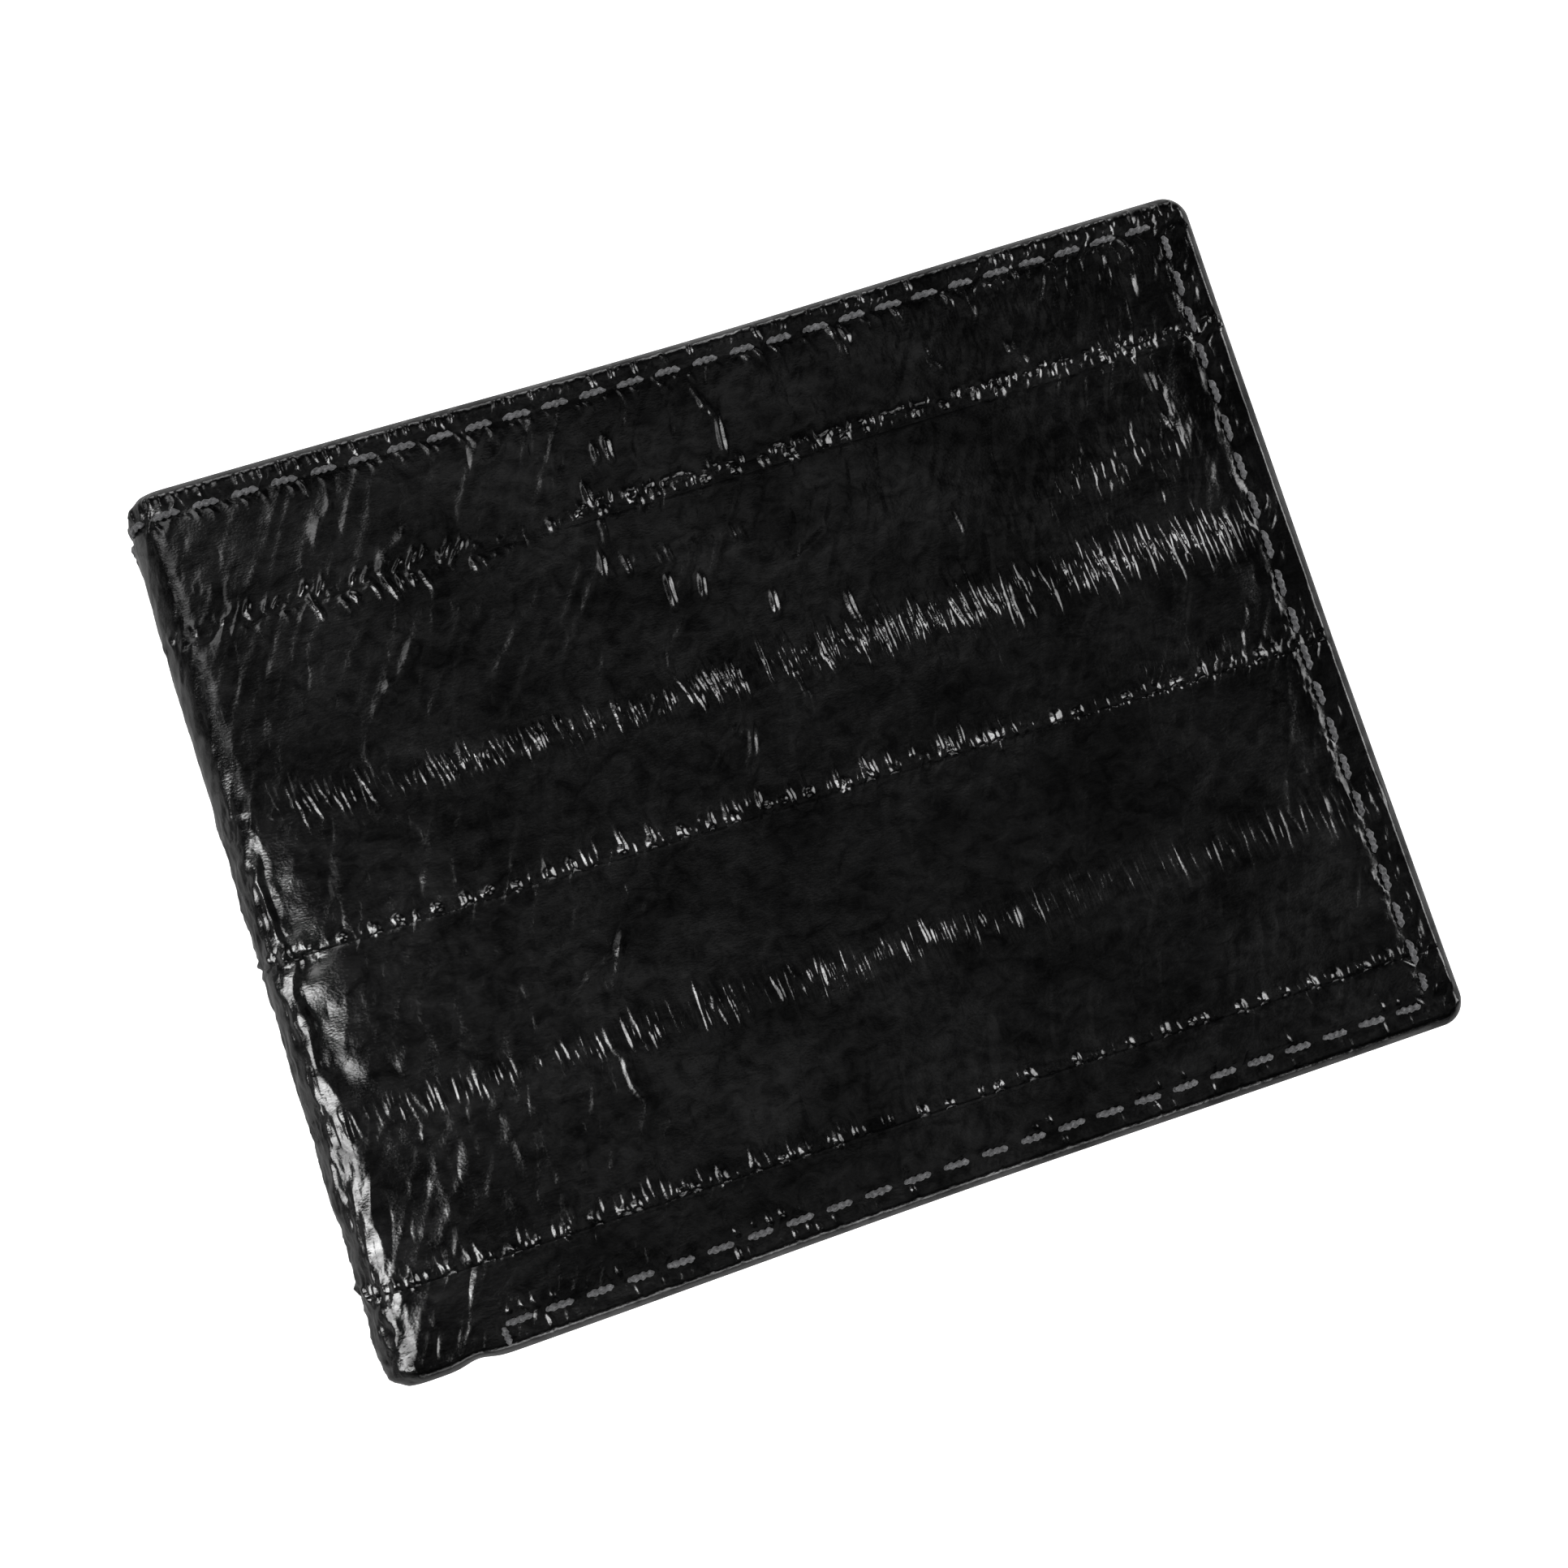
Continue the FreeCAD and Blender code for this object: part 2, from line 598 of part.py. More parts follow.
def sub_parts(doc):
    return [o for o in doc.Objects if o.TypeId in ("PartDesign::Body", "Part::Feature")
            and o.getParentGeoFeatureGroup() is None]


def check(doc):
    for item in doc.Objects:
        if "Invalid" in item.State or "Error" in item.State:
            raise RuntimeError(f"{item.Label} failed: {item.State}")
    for part in sub_parts(doc):
        if part.Shape.isNull() or not part.Shape.isValid():
            raise RuntimeError(f"{part.Label} has no valid shape")


def export(doc):
    os.makedirs("parts", exist_ok=True)
    for part in sub_parts(doc):
        part.Shape.exportStep(os.path.join("parts", f"{part.Label}.step"))
        box = part.Shape.BoundBox
        print(f"{part.Label}: {len(part.Shape.Solids)} solids, {part.Shape.Volume:.1f} mm3, "
              f"x {box.XMin:.2f}..{box.XMax:.2f} y {box.YMin:.2f}..{box.YMax:.2f} "
              f"z {box.ZMin:.2f}..{box.ZMax:.2f}")


document = FreeCAD.newDocument("bifold_wallet")
build(document)
check(document)
export(document)
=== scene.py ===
"""Bifold wallet in glazed black eel skin, closed and lying on its back cover.

Every piece is built in millimetres in a folded sheet space and then placed in the CAD frame:
    along   distance from the cover's spine face, followed round the fold (negative past the bend)
    across  the frame's Y
    depth   how far below the cover's outer face
The front half is the back half mirrored about mid-thickness. Each layer that crosses the spine is
two pieces that meet in the middle of the spine, and each piece bends at one rounded corner.
"""
import json
import math

import bpy
import numpy as np
from mathutils import Matrix, Vector


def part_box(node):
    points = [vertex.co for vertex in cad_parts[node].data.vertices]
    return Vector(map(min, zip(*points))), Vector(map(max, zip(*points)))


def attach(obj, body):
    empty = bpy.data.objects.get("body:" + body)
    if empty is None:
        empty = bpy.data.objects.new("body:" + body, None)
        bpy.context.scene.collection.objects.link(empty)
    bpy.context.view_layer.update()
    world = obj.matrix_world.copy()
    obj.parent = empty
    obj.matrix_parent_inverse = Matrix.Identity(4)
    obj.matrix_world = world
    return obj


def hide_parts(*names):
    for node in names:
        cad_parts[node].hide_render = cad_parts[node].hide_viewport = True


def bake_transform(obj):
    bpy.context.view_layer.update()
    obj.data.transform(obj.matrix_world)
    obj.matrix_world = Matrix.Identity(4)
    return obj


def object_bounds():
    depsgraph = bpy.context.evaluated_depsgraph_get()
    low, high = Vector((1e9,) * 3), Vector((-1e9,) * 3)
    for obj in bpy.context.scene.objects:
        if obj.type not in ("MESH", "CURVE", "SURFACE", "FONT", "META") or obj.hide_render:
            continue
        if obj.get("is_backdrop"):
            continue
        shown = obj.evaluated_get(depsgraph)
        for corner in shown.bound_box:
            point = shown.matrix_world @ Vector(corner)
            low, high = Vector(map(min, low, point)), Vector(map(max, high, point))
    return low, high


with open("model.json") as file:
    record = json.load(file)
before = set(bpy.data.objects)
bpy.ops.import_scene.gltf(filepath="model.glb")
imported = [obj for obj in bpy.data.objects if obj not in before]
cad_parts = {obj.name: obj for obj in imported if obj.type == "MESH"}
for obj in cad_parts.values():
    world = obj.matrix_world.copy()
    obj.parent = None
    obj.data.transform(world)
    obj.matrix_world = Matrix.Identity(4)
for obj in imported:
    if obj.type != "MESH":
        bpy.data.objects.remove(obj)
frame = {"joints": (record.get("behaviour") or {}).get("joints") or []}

CAD_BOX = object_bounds()
MM = 0.001
SHARP_EDGE_DEG = 62

# ---------------------------------------------------------------- sizes read from the frame, mm


def box_mm(node):
    low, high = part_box(node)
    return np.array(low) / MM, np.array(high) / MM


def shell(node):
    """How far below the outer face a front node starts and ends."""
    low, high = box_mm(node)
    return THICK - high[2], THICK - low[2]


LEFT, BOTTOM, _ = np.array(CAD_BOX[0]) / MM
RIGHT, TOP, THICK = np.array(CAD_BOX[1]) / MM
LENGTH = RIGHT - LEFT
AXIS_X = frame["joints"][0]["pos_m"][0] / MM
FOLD_R = (AXIS_X - LEFT) / (1 - math.pi / 4)
BEND_X = LEFT + FOLD_R
BEND_LENGTH = FOLD_R * math.pi / 2
WALL = THICK / 2 - FOLD_R
SPINE_MID = FOLD_R - BEND_LENGTH - WALL

SKIN = (0.0, shell("front_interlining")[0])
BOARD_DEPTHS = (SKIN[1], shell("front_bill_lining")[0])
LINING_DEPTHS = (BOARD_DEPTHS[1], shell("front_inner_panel")[0])
PANEL_DEPTHS = (box_mm("spine_inner_panel")[0][0] - LEFT, shell("front_card_pocket_1")[0])
CARD_1 = shell("front_card_pocket_1")
CARD_2 = shell("front_card_pocket_2")
CARD_3 = shell("front_card_pocket_3")
ID_LOW, ID_HIGH = box_mm("id_pocket_frame")
SHEET_LOW, SHEET_HIGH = box_mm("id_window")
STACK_LOW, STACK_HIGH = box_mm("front_card_pocket_1")
STACK_LEFT, STACK_RIGHT = STACK_LOW[0] - LEFT, STACK_HIGH[0] - LEFT
STACK_BOTTOM = STACK_LOW[1]
LINING_INSET = TOP - box_mm("front_bill_lining")[1][1]
PANEL_TOP = box_mm("front_inner_panel")[1][1]
SEAMS = [box_mm(f"front_skin_strip_{i}")[0][1] for i in (1, 2, 3)]

HALVES = ("back", "front")
BODY = {"back": "back_half", "front": "front_half"}

# ---------------------------------------------------------------- repeatable noise


def lattice(i, j, seed):
    """A repeatable number from 0 to 1 for each lattice point."""
    n = np.sin(i * 127.1 + j * 311.7 + seed * 74.7) * 43758.5453
    return n - np.floor(n)


def noise(x, y, seed):
    """Smooth noise from -1 to 1 with features one unit across."""
    i, j = np.floor(x), np.floor(y)
    fx, fy = x - i, y - j
    fx, fy = fx * fx * (3 - 2 * fx), fy * fy * (3 - 2 * fy)
    low = lattice(i, j, seed) * (1 - fx) + lattice(i + 1, j, seed) * fx
    high = lattice(i, j + 1, seed) * (1 - fx) + lattice(i + 1, j + 1, seed) * fx
    return 2 * (low * (1 - fy) + high * fy) - 1


def fractal(x, y, seed, octaves=3):
    total = 0
    for k in range(octaves):
        total = total + noise(x * 2**k + 17 * k, y * 2**k - 11 * k, seed + k) / 2**k
    return total / 2


def ridged(x, y, seed, octaves=2):
    """Noise with sharp crests, from 0 to 1."""
    total = 0
    for k in range(octaves):
        total = total + (1 - np.abs(noise(x * 2**k + 5 * k, y * 2**k + 9 * k, seed + k))) ** 2 / 2**k
    return total / (2 - 2.0 ** (1 - octaves))


def bump(x, width):
    return np.exp(-((x / width) ** 2))


def ramp(x, start, end):
    """0 before start, 1 after end, smooth between."""
    t = np.clip((x - start) / (end - start), 0, 1)
    return t * t * (3 - 2 * t)


def window(x, start, end, soft):
    """1 between start and end, with soft sides."""
    return ramp(x, start - soft, start + soft) * (1 - ramp(x, end - soft, end + soft))


def ridges(u, v, line, pitch, reach, width, lean, seed, sparse=1.0):
    """A row of short ridges standing across a line, one to each pitch along u.

    Each has its own place, length, lean and height. A high sparse leaves most of them low.
    """
    total = 0
    for step in (-1, 0, 1):
        number = np.floor(u / pitch) + step
        middle = (number + 0.5 + 0.6 * (lattice(number, 0, seed) - 0.5)) * pitch
        shift = reach * 0.8 * (lattice(number, 1, seed) - 0.5)
        span = reach * (0.45 + 0.9 * lattice(number, 2, seed))
        slant = lean + 0.35 * (lattice(number, 3, seed) - 0.5)
        d = v - line - shift
        off = u - middle - slant * d + 0.35 * width * noise(v / 0.7, number, seed)
        size = lattice(number, 4, seed) ** sparse
        total = total + size * np.exp(-((off / width) ** 2) - np.abs(d / span) ** 3)
    return total


# ---------------------------------------------------------------- the folded sheet


def place(side, along, across, depth):
    """Sheet space to the row frame, in metres."""
    along, across, depth = np.broadcast_arrays(
        np.asarray(along, float), np.asarray(across, float), np.asarray(depth, float)
    )
    past = FOLD_R - along
    angle = np.clip(past / FOLD_R, 0, math.pi / 2)
    radius = FOLD_R - depth
    x = np.where(past > 0, BEND_X - radius * np.sin(angle), LEFT + along)
    z = np.where(past > 0, FOLD_R - radius * np.cos(angle), depth)
    z = z + np.maximum(past - BEND_LENGTH, 0)
    if side == "front":
        z = THICK - z
    return np.stack([x, across, z], -1) * MM


def graded(start, end, coarse, near=(), fine=0.16, reach=1.3, round_start=False, round_end=False):
    """Places from start to end: coarse apart, fine apart within reach of the places in near, and
    closer still at an end that is rounded over."""
    values = [start]
    while values[-1] < end:
        close = any(abs(values[-1] - spot) < reach for spot in near)
        values.append(values[-1] + (fine if close else coarse))
    values = start + (np.array(values) - start) * (end - start) / (values[-1] - start)
    rounding = np.array([0.02, 0.07, 0.15, 0.26, 0.4, 0.55])
    extra = []
    if round_start:
        extra += list(start + rounding)
    if round_end:
        extra += list(end - rounding)
    return np.unique(np.round(np.concatenate([values, extra]), 4))


def rounded(gap, radius):
    """Extra depth of a rounded edge at a distance gap inside that edge."""
    past = np.clip(radius - gap, 0, radius)
    return radius - np.sqrt(radius**2 - past**2)


def link(name, vertices, faces, rest, material):
    """A mesh object in the scene. rest holds each vertex's own coordinates for the materials."""
    mesh = bpy.data.meshes.new(name)
    mesh.from_pydata(vertices.tolist(), [], faces)
    attribute = mesh.attributes.new("rest", "FLOAT_VECTOR", "POINT")
    attribute.data.foreach_set("vector", rest.astype(np.float32).ravel())
    mesh.polygons.foreach_set("use_smooth", [True] * len(mesh.polygons))
    mesh.set_sharp_from_angle(angle=math.radians(SHARP_EDGE_DEG))
    mesh.materials.append(material)
    obj = bpy.data.objects.new(name, mesh)
    bpy.context.scene.collection.objects.link(obj)
    return obj


def slab(name, side, along, across, face, rear, material, warp=None, hole=None, ruled=False):
    """A closed sheet. face and rear are depths: numbers, or functions of (along, across).

    warp moves (along, across) to shape the outline. hole says which (along, across) are open.
    ruled leaves the rear plain, with one face from edge to edge, where it is never seen.
    """
    a, c = np.meshgrid(along, across, indexing="ij")
    n, m = a.shape
    wa, wc = warp(a, c) if warp else (a, c)
    face_depth = face(a, c) if callable(face) else np.full(a.shape, float(face))
    rear_depth = rear(a, c) if callable(rear) else np.full(a.shape, float(rear))
    vertices = np.concatenate([
        place(side, wa, wc, face_depth).reshape(-1, 3),
        place(side, wa, wc, rear_depth).reshape(-1, 3),
    ])
    rest = np.concatenate([
        np.stack([wa, wc, face_depth], -1).reshape(-1, 3),
        np.stack([wa, wc, rear_depth], -1).reshape(-1, 3),
    ])
    index = np.arange(n * m).reshape(n, m)
    kept = np.ones((n - 1, m - 1), bool)
    if hole:
        kept = ~hole((a[:-1, :-1] + a[1:, 1:]) / 2, (c[:-1, :-1] + c[1:, 1:]) / 2)
    outward = (np.mean(face_depth) < np.mean(rear_depth)) == (side == "front")

    quads, rings = [], []

    def add(*corners):
        order = corners if outward else corners[::-1]
        quads.append(np.stack([x.ravel() for x in order], -1))

    i, j = np.nonzero(kept)
    add(index[i, j], index[i + 1, j], index[i + 1, j + 1], index[i, j + 1])
    low = n * m + index
    if ruled:
        add(low[:-1, 0], low[:-1, -1], low[1:, -1], low[1:, 0])
        add(index[:-1, 0], low[:-1, 0], low[1:, 0], index[1:, 0])
        add(index[1:, -1], low[1:, -1], low[:-1, -1], index[:-1, -1])
        for end in (0, n - 1):
            ring = np.concatenate([index[end, :], [low[end, -1], low[end, 0]]])
            rings.append(ring if (end == 0) == outward else ring[::-1])
    else:
        add(low[i, j], low[i, j + 1], low[i + 1, j + 1], low[i + 1, j])
        padded = np.pad(kept, 1)
        for di, dj, p, q in (
            (-1, 0, (0, 0), (0, 1)), (1, 0, (1, 1), (1, 0)),
            (0, -1, (1, 0), (0, 0)), (0, 1, (0, 1), (1, 1)),
        ):
            i, j = np.nonzero(kept & ~padded[1 + di:n + di, 1 + dj:m + dj])
            add(index[i + p[0], j + p[1]], index[i + q[0], j + q[1]],
                low[i + q[0], j + q[1]], low[i + p[0], j + p[1]])
    quads = np.concatenate(quads)
    used = np.unique(np.concatenate([quads.ravel(), *rings]))
    renumber = np.full(len(vertices), -1)
    renumber[used] = np.arange(len(used))
    faces = renumber[quads].tolist() + [renumber[ring].tolist() for ring in rings]
    return link(name, vertices[used], faces, rest[used], material)


def bend_with_spine(obj, side, depth):
    """obj crosses the rounded corner between this half and the spine. Only its placement is baked into
    the mesh here.
    """
    wall_end = place(side, FOLD_R - BEND_LENGTH, 0, depth)
    cover_end = place(side, FOLD_R, 0, depth)
    if side == "front":
        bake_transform(obj)
    else:
        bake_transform(obj)


def dress(obj, slot, *nodes):
    """Hides the CAD nodes the piece stands for. slot names the finish the piece takes and is not used.
    """
    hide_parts(*nodes)


def nodes_of(side, layer):
    """The cover's node of a layer; the front piece also stands for the whole spine node."""
    return [f"{side}_{layer}"] + ([f"spine_{layer}"] if side == "front" else [])


# ---------------------------------------------------------------- outline of the covers

CORNER_R = 2.6
EDGE_R = 1.1
EDGE_DROP = 1.1
HOLLOW = {"mouth": 0.48, "bottom": 0.3}
END_SWELL = 0.3


def round_corner(x, y, corner_x, corner_y, radius):
    """Turns the square corner at the given place into a quarter circle."""
    sx, sy = np.sign(corner_x), np.sign(corner_y)
    qx = (x - corner_x) * sx + radius
    qy = (y - corner_y) * sy + radius
    inside = (qx > 0) & (qy > 0)
    scale = np.where(inside, np.maximum(qx, qy) / np.maximum(np.hypot(qx, qy), 1e-9), 1)
    return (np.where(inside, corner_x + (qx * scale - radius) * sx, x),
            np.where(inside, corner_y + (qy * scale - radius) * sy, y))


def spine_end_dip(along):
    """How far the mouth and bottom edges dip in as they turn round the spine."""
    return 1.9 * np.clip((1.8 - along) / 4.65, 0, 1) ** 1.6


def cover_warp(inset=0.0):
    """Rounded corners and slightly hollow edges, for a layer inset from the cover's edge."""
    def warp(along, across):
        x, y = LEFT + along, across
        for sign in (1, -1):
            x, y = round_corner(x, y, RIGHT - inset, sign * (TOP - inset), max(CORNER_R - inset, 0.6))
        share = np.clip(y / TOP, -1, 1)
        dent = np.where(share > 0, HOLLOW["mouth"], HOLLOW["bottom"]) * bump(along - 56, 28)
        y = y - np.sign(share) * dent * np.abs(share) ** 5
        notch = 0.45 * bump(along - 9.6, 1.6) * np.clip(-share, 0, 1) ** 24
        x = x - END_SWELL * ramp(along, 60, LENGTH) * (1 - share**2)
        y = (y + notch) * (1 - spine_end_dip(along) / TOP * np.abs(share) ** 3)
        return x - LEFT, y
    return warp


def front_warp(along, across):
    """The front cover's outline. Its two lower seams drift down towards the opening edge."""
    v = TOP - across
    drift = 1.3 * np.clip(along / LENGTH, 0, 1) * ramp(v, 22, 44) * (1 - ramp(v, 81, 85))
    return cover_warp()(along, across - drift)


OUTLINE = {"front": front_warp, "back": cover_warp()}

# ---------------------------------------------------------------- relief of the eel skin, mm
# u is the distance from the spine face and v the distance below the mouth edge.

STITCH_INSET = 2.9
ROW_X = LENGTH - 3.7
SEAM_PITCH = 2.75
SEWN_FROM = 12.4
UPPER_BAND, LOWER_BAND = 34.2, 63.8
MARGIN_FROM = 103.4


def texture(u, v, seed):
    """Slow undulation and fine uneven creasing of glazed skin."""
    h = 0.16 * fractal(u / 30, v / 24, seed, 2)
    h += 0.12 * fractal(u / 7, v / 6, seed + 3, 2)
    h += 0.06 * fractal(u / 2.3, v / 2.1, seed + 6, 3)
    veins = ridged((u + 0.6 * v) / 2.1, (v - 0.6 * u) / 9, seed + 10)
    cuts = ridged((u + 0.35 * v) / 3.1, (v - 0.3 * u) / 6, seed + 13)
    return h + 0.09 * veins**3 - 0.09 * cuts**5


def dorsal_band(u, v, line, reach, seed):
    """The tight ridges along the line where the back fin was, in uneven clusters."""
    fine = ridges(u, v, line, pitch=0.44, reach=reach, width=0.14, lean=0.16, seed=seed, sparse=0.7)
    tall = ridges(
        u, v, line, pitch=1.6, reach=reach * 1.25, width=0.2, lean=0.26, seed=seed + 1, sparse=0.9
    )
    gaps = 0.55 * (1 - ramp(u, 34, 46))
    clusters = 1 - gaps * (1 - ramp(noise(u / 1.9, v / 9, seed + 2), -0.6, 0.1))
    broken = 0.8 + 0.45 * noise(u / 0.6, v / 0.42, seed + 3)
    return (0.24 * fine * clusters + 0.17 * tall) * broken


def seam_line(u, v, line, seed):
    """Two skins sewn edge to edge: a fine valley, and a bead of skin between the stitches."""
    d = v - line
    bead = ridges(
        u, v, line - 0.6, pitch=SEAM_PITCH, reach=0.6, width=0.40, lean=0.1, seed=seed, sparse=0.35
    )
    nips = ridges(
        u, v, line - 0.7, pitch=0.9, reach=0.5, width=0.2, lean=0.1, seed=seed + 1, sparse=1.6
    )
    return -0.07 * bump(d, 0.16) - 0.03 * bump(d, 0.8) + 0.36 * bead + 0.16 * nips


def crease(u, v, start, end, height, width):
    """A soft ridge along a line, fading at both ends."""
    (u0, v0), (u1, v1) = start, end
    du, dv = u1 - u0, v1 - v0
    length = math.hypot(du, dv)
    t = ((u - u0) * du + (v - v0) * dv) / length**2
    wander = 0.45 * noise(t * length / 2.2, 0 * t, u0 + 3 * v0)
    off = ((u - u0) * dv - (v - v0) * du) / length + wander
    uneven = 0.65 + 0.35 * noise(t * length / 1.5, 0 * t, v0)
    return height * np.clip(np.minimum(t, 1 - t) * 4, 0, 1) * uneven * bump(off, width)


# Creases of the front cover: start and end (u, v), height, width.
SHARP, SOFT = (0.40, 0.32), (0.24, 0.42)
CREASES = (
    ((57.5, 4.5), (58.6, 9.0), *SHARP),
    ((58.7, 8.5), (58.3, 13.2), *SHARP),
    ((47.4, 7.5), (48.0, 10.5), *SHARP),
    ((45.8, 8.0), (46.2, 10.0), *SHARP),
    ((71.8, 2.8), (73.4, 7.0), *SHARP),
    ((73.2, 3.2), (74.0, 5.5), *SHARP),
    ((85.5, 3.5), (86.8, 6.5), *SHARP),
    ((80.2, 8.5), (82.0, 11.0), *SHARP),
    ((88.6, 9.8), (90.6, 13.4), *SHARP),
    ((43.8, 17.5), (43.4, 21.6), *SHARP),
    ((43.9, 11.4), (44.6, 14.5), *SHARP),
    ((44.6, 15.2), (44.0, 18.2), *SHARP),
    ((49.3, 22.5), (49.0, 26.0), *SHARP),
    ((52.4, 23.5), (52.0, 26.0), *SHARP),
    ((58.9, 27.0), (58.7, 29.5), *SHARP),
    ((65.0, 29.0), (65.8, 33.0), *SHARP),
    ((77.6, 24.5), (78.2, 28.0), 0.24, 0.42),
    ((101.5, 17.0), (103.2, 21.0), *SHARP),
    ((101.8, 21.5), (103.2, 25.0), *SHARP),
    ((107.0, 5.0), (105.6, 9.0), *SOFT),
    ((103.4, 6.5), (103.6, 10.0), *SOFT),
    ((46.5, 43.5), (52.5, 37.6), *SOFT),
    ((51.0, 43.6), (53.2, 38.5), *SOFT),
    ((55.0, 43.0), (59.6, 37.5), *SOFT),
    ((29.0, 58.5), (40.5, 50.4), *SOFT),
    ((25.0, 60.5), (32.5, 57.0), *SOFT),
    ((31.0, 60.5), (35.5, 53.5), *SOFT),
    ((58.0, 27.0), (68.0, 21.8), *SOFT),
    ((46.0, 32.0), (52.0, 25.0), *SOFT),
    ((17.5, 29.0), (25.5, 20.5), *SOFT),
    ((22.0, 14.5), (27.0, 10.5), *SOFT),
    ((17.5, 10.5), (20.5, 5.0), *SOFT),
    ((35.0, 7.5), (39.0, 4.5), *SOFT),
    ((30.2, 61.5), (31.6, 71.0), *SOFT),
)


def fan(u, v):
    """Many shallow folds beside the spine, where the cover has been opened often."""
    spread = 1 + 0.012 * (80 - v)
    x = 12 + (u - 12) / spread
    narrow = ridges(x, v, 68, pitch=1.35, reach=8, width=0.5, lean=0.02, seed=41, sparse=0.7)
    broad = ridges(x, v, 72, pitch=2.5, reach=7, width=0.8, lean=0.1, seed=43)
    return 0.05 * (narrow + broad) * window(u, 9, 33, 4) * window(v, 54, 79, 3)


def slants(u, v):
    """Shallow folds slanting across the two upper skins."""
    x = u + 0.75 * v
    upper = ridges(x, v, 8, pitch=2.9, reach=3.6, width=0.5, lean=0.1, seed=241, sparse=1.1)
    lower = ridges(x, v, 23, pitch=2.5, reach=4.6, width=0.5, lean=-0.1, seed=243, sparse=1.1)
    return 0.12 * (upper + lower) * window(u, 18, 62, 6)


def hatch(u, v):
    """Patches of fine crossing wrinkles near the opening edge."""
    lines = ridged((u + 0.7 * v) / 0.8, (v - 0.4 * u) / 2.4, 52)
    short = ridged((u - 0.3 * v) / 0.7, (v + 0.2 * u) / 1.9, 57)
    upper = bump(u - 95, 9) * bump(v - 25.2 + 0.2 * (u - 95), 2.4)
    lower = bump(u - 97, 8) * bump(v - 45.6 - 0.12 * (u - 97), 1.8)
    corner = bump(u - 94, 22) * bump(v - 4.6, 3.4)
    arc = bump(np.hypot(u - 92, v - 21) - 11, 1.0) * window(u, 99, 104, 1)
    return 0.28 * lines**2 * (upper + 0.8 * lower + 0.7 * corner) + 0.2 * short**2 * (arc + upper)


def stitch_row(u, v):
    """The leather drawn down along the perimeter seam, and the puckers it makes."""
    row_low = 2 * TOP - STITCH_INSET
    sewn = ramp(u, SEWN_FROM - 2, SEWN_FROM + 0.6)
    to_mouth = np.abs(v - STITCH_INSET)
    to_low = np.abs(v - row_low) + 6 * (1 - sewn)
    to_end = np.abs(u - ROW_X)
    near = np.minimum(np.minimum(to_mouth, to_low), to_end)
    outside = ramp(u, ROW_X, ROW_X + 1.2)
    h = -0.11 * bump(near, 0.7) - 0.05 * bump(near, 1.9) - 0.05 * outside
    busy = 0.55 + 0.45 * ramp(u, 50, 75)
    h = h + 0.30 * ridges(u, v, 1.1, pitch=0.9, reach=0.8, width=0.22, lean=0.1, seed=201, sparse=1.5)
    h = h + 0.30 * busy * ridges(
        u, v, 3.9, pitch=1.5, reach=0.7, width=0.22, lean=0.55, seed=205, sparse=1.6
    )
    h = h + 0.28 * busy * ridges(
        u, v, 1.6, pitch=1.3, reach=0.6, width=0.2, lean=-0.8, seed=209, sparse=1.4
    )
    h = h + 0.2 * sewn * ridges(
        u, v, row_low - 1.1, pitch=1.6, reach=0.5, width=0.22, lean=0.2, seed=213, sparse=2.0
    )
    h = h + 0.2 * sewn * ridges(
        u, v, row_low + 1.2, pitch=1.4, reach=0.5, width=0.22, lean=0.2, seed=217, sparse=2.0
    )
    beside = ridges(v, u, ROW_X - 1.0, pitch=1.6, reach=0.6, width=0.24, lean=0.9, seed=221, sparse=1.6)
    beyond = ridges(
        v, u, ROW_X + 1.1, pitch=1.5, reach=0.5, width=0.22, lean=-0.9, seed=225, sparse=1.4
    )
    return h + 0.28 * (beside + beyond)


def spine_relief(u, v):
    """Crumpled skin where it turns round the spine, with a pinch beside the fold. It is the same
    on both halves, so that they meet."""
    worn = 0.30 + 0.70 * ramp(v, 29, 38)
    crumple = ridged(u / 2.1 + 0.5 * noise(v / 4, u / 4, 91), v / 2.6, 92, 3)
    crumple = crumple + 0.8 * fractal(v / 5, u / 4, 94)
    cracks = ridged(v / 1.5 + 0.3 * u, u / 5, 97, 2)
    zone = 1 - ramp(u, 3.2, 5.2)
    off = u - 4.3 - 0.9 * noise(v / 3, 0 * v, 95) - 0.35 * noise(v / 0.9, 0 * v, 98)
    pinch = np.where(off < 0, bump(off, 0.5), bump(off, 2.2)) * (0.7 + 0.4 * noise(v / 2.1, u / 3, 99))
    pinch = pinch * window(v, 37, 60, 3)
    return worn * zone * (0.34 * (crumple - 0.45) - 0.16 * cracks**3) - 0.5 * pinch


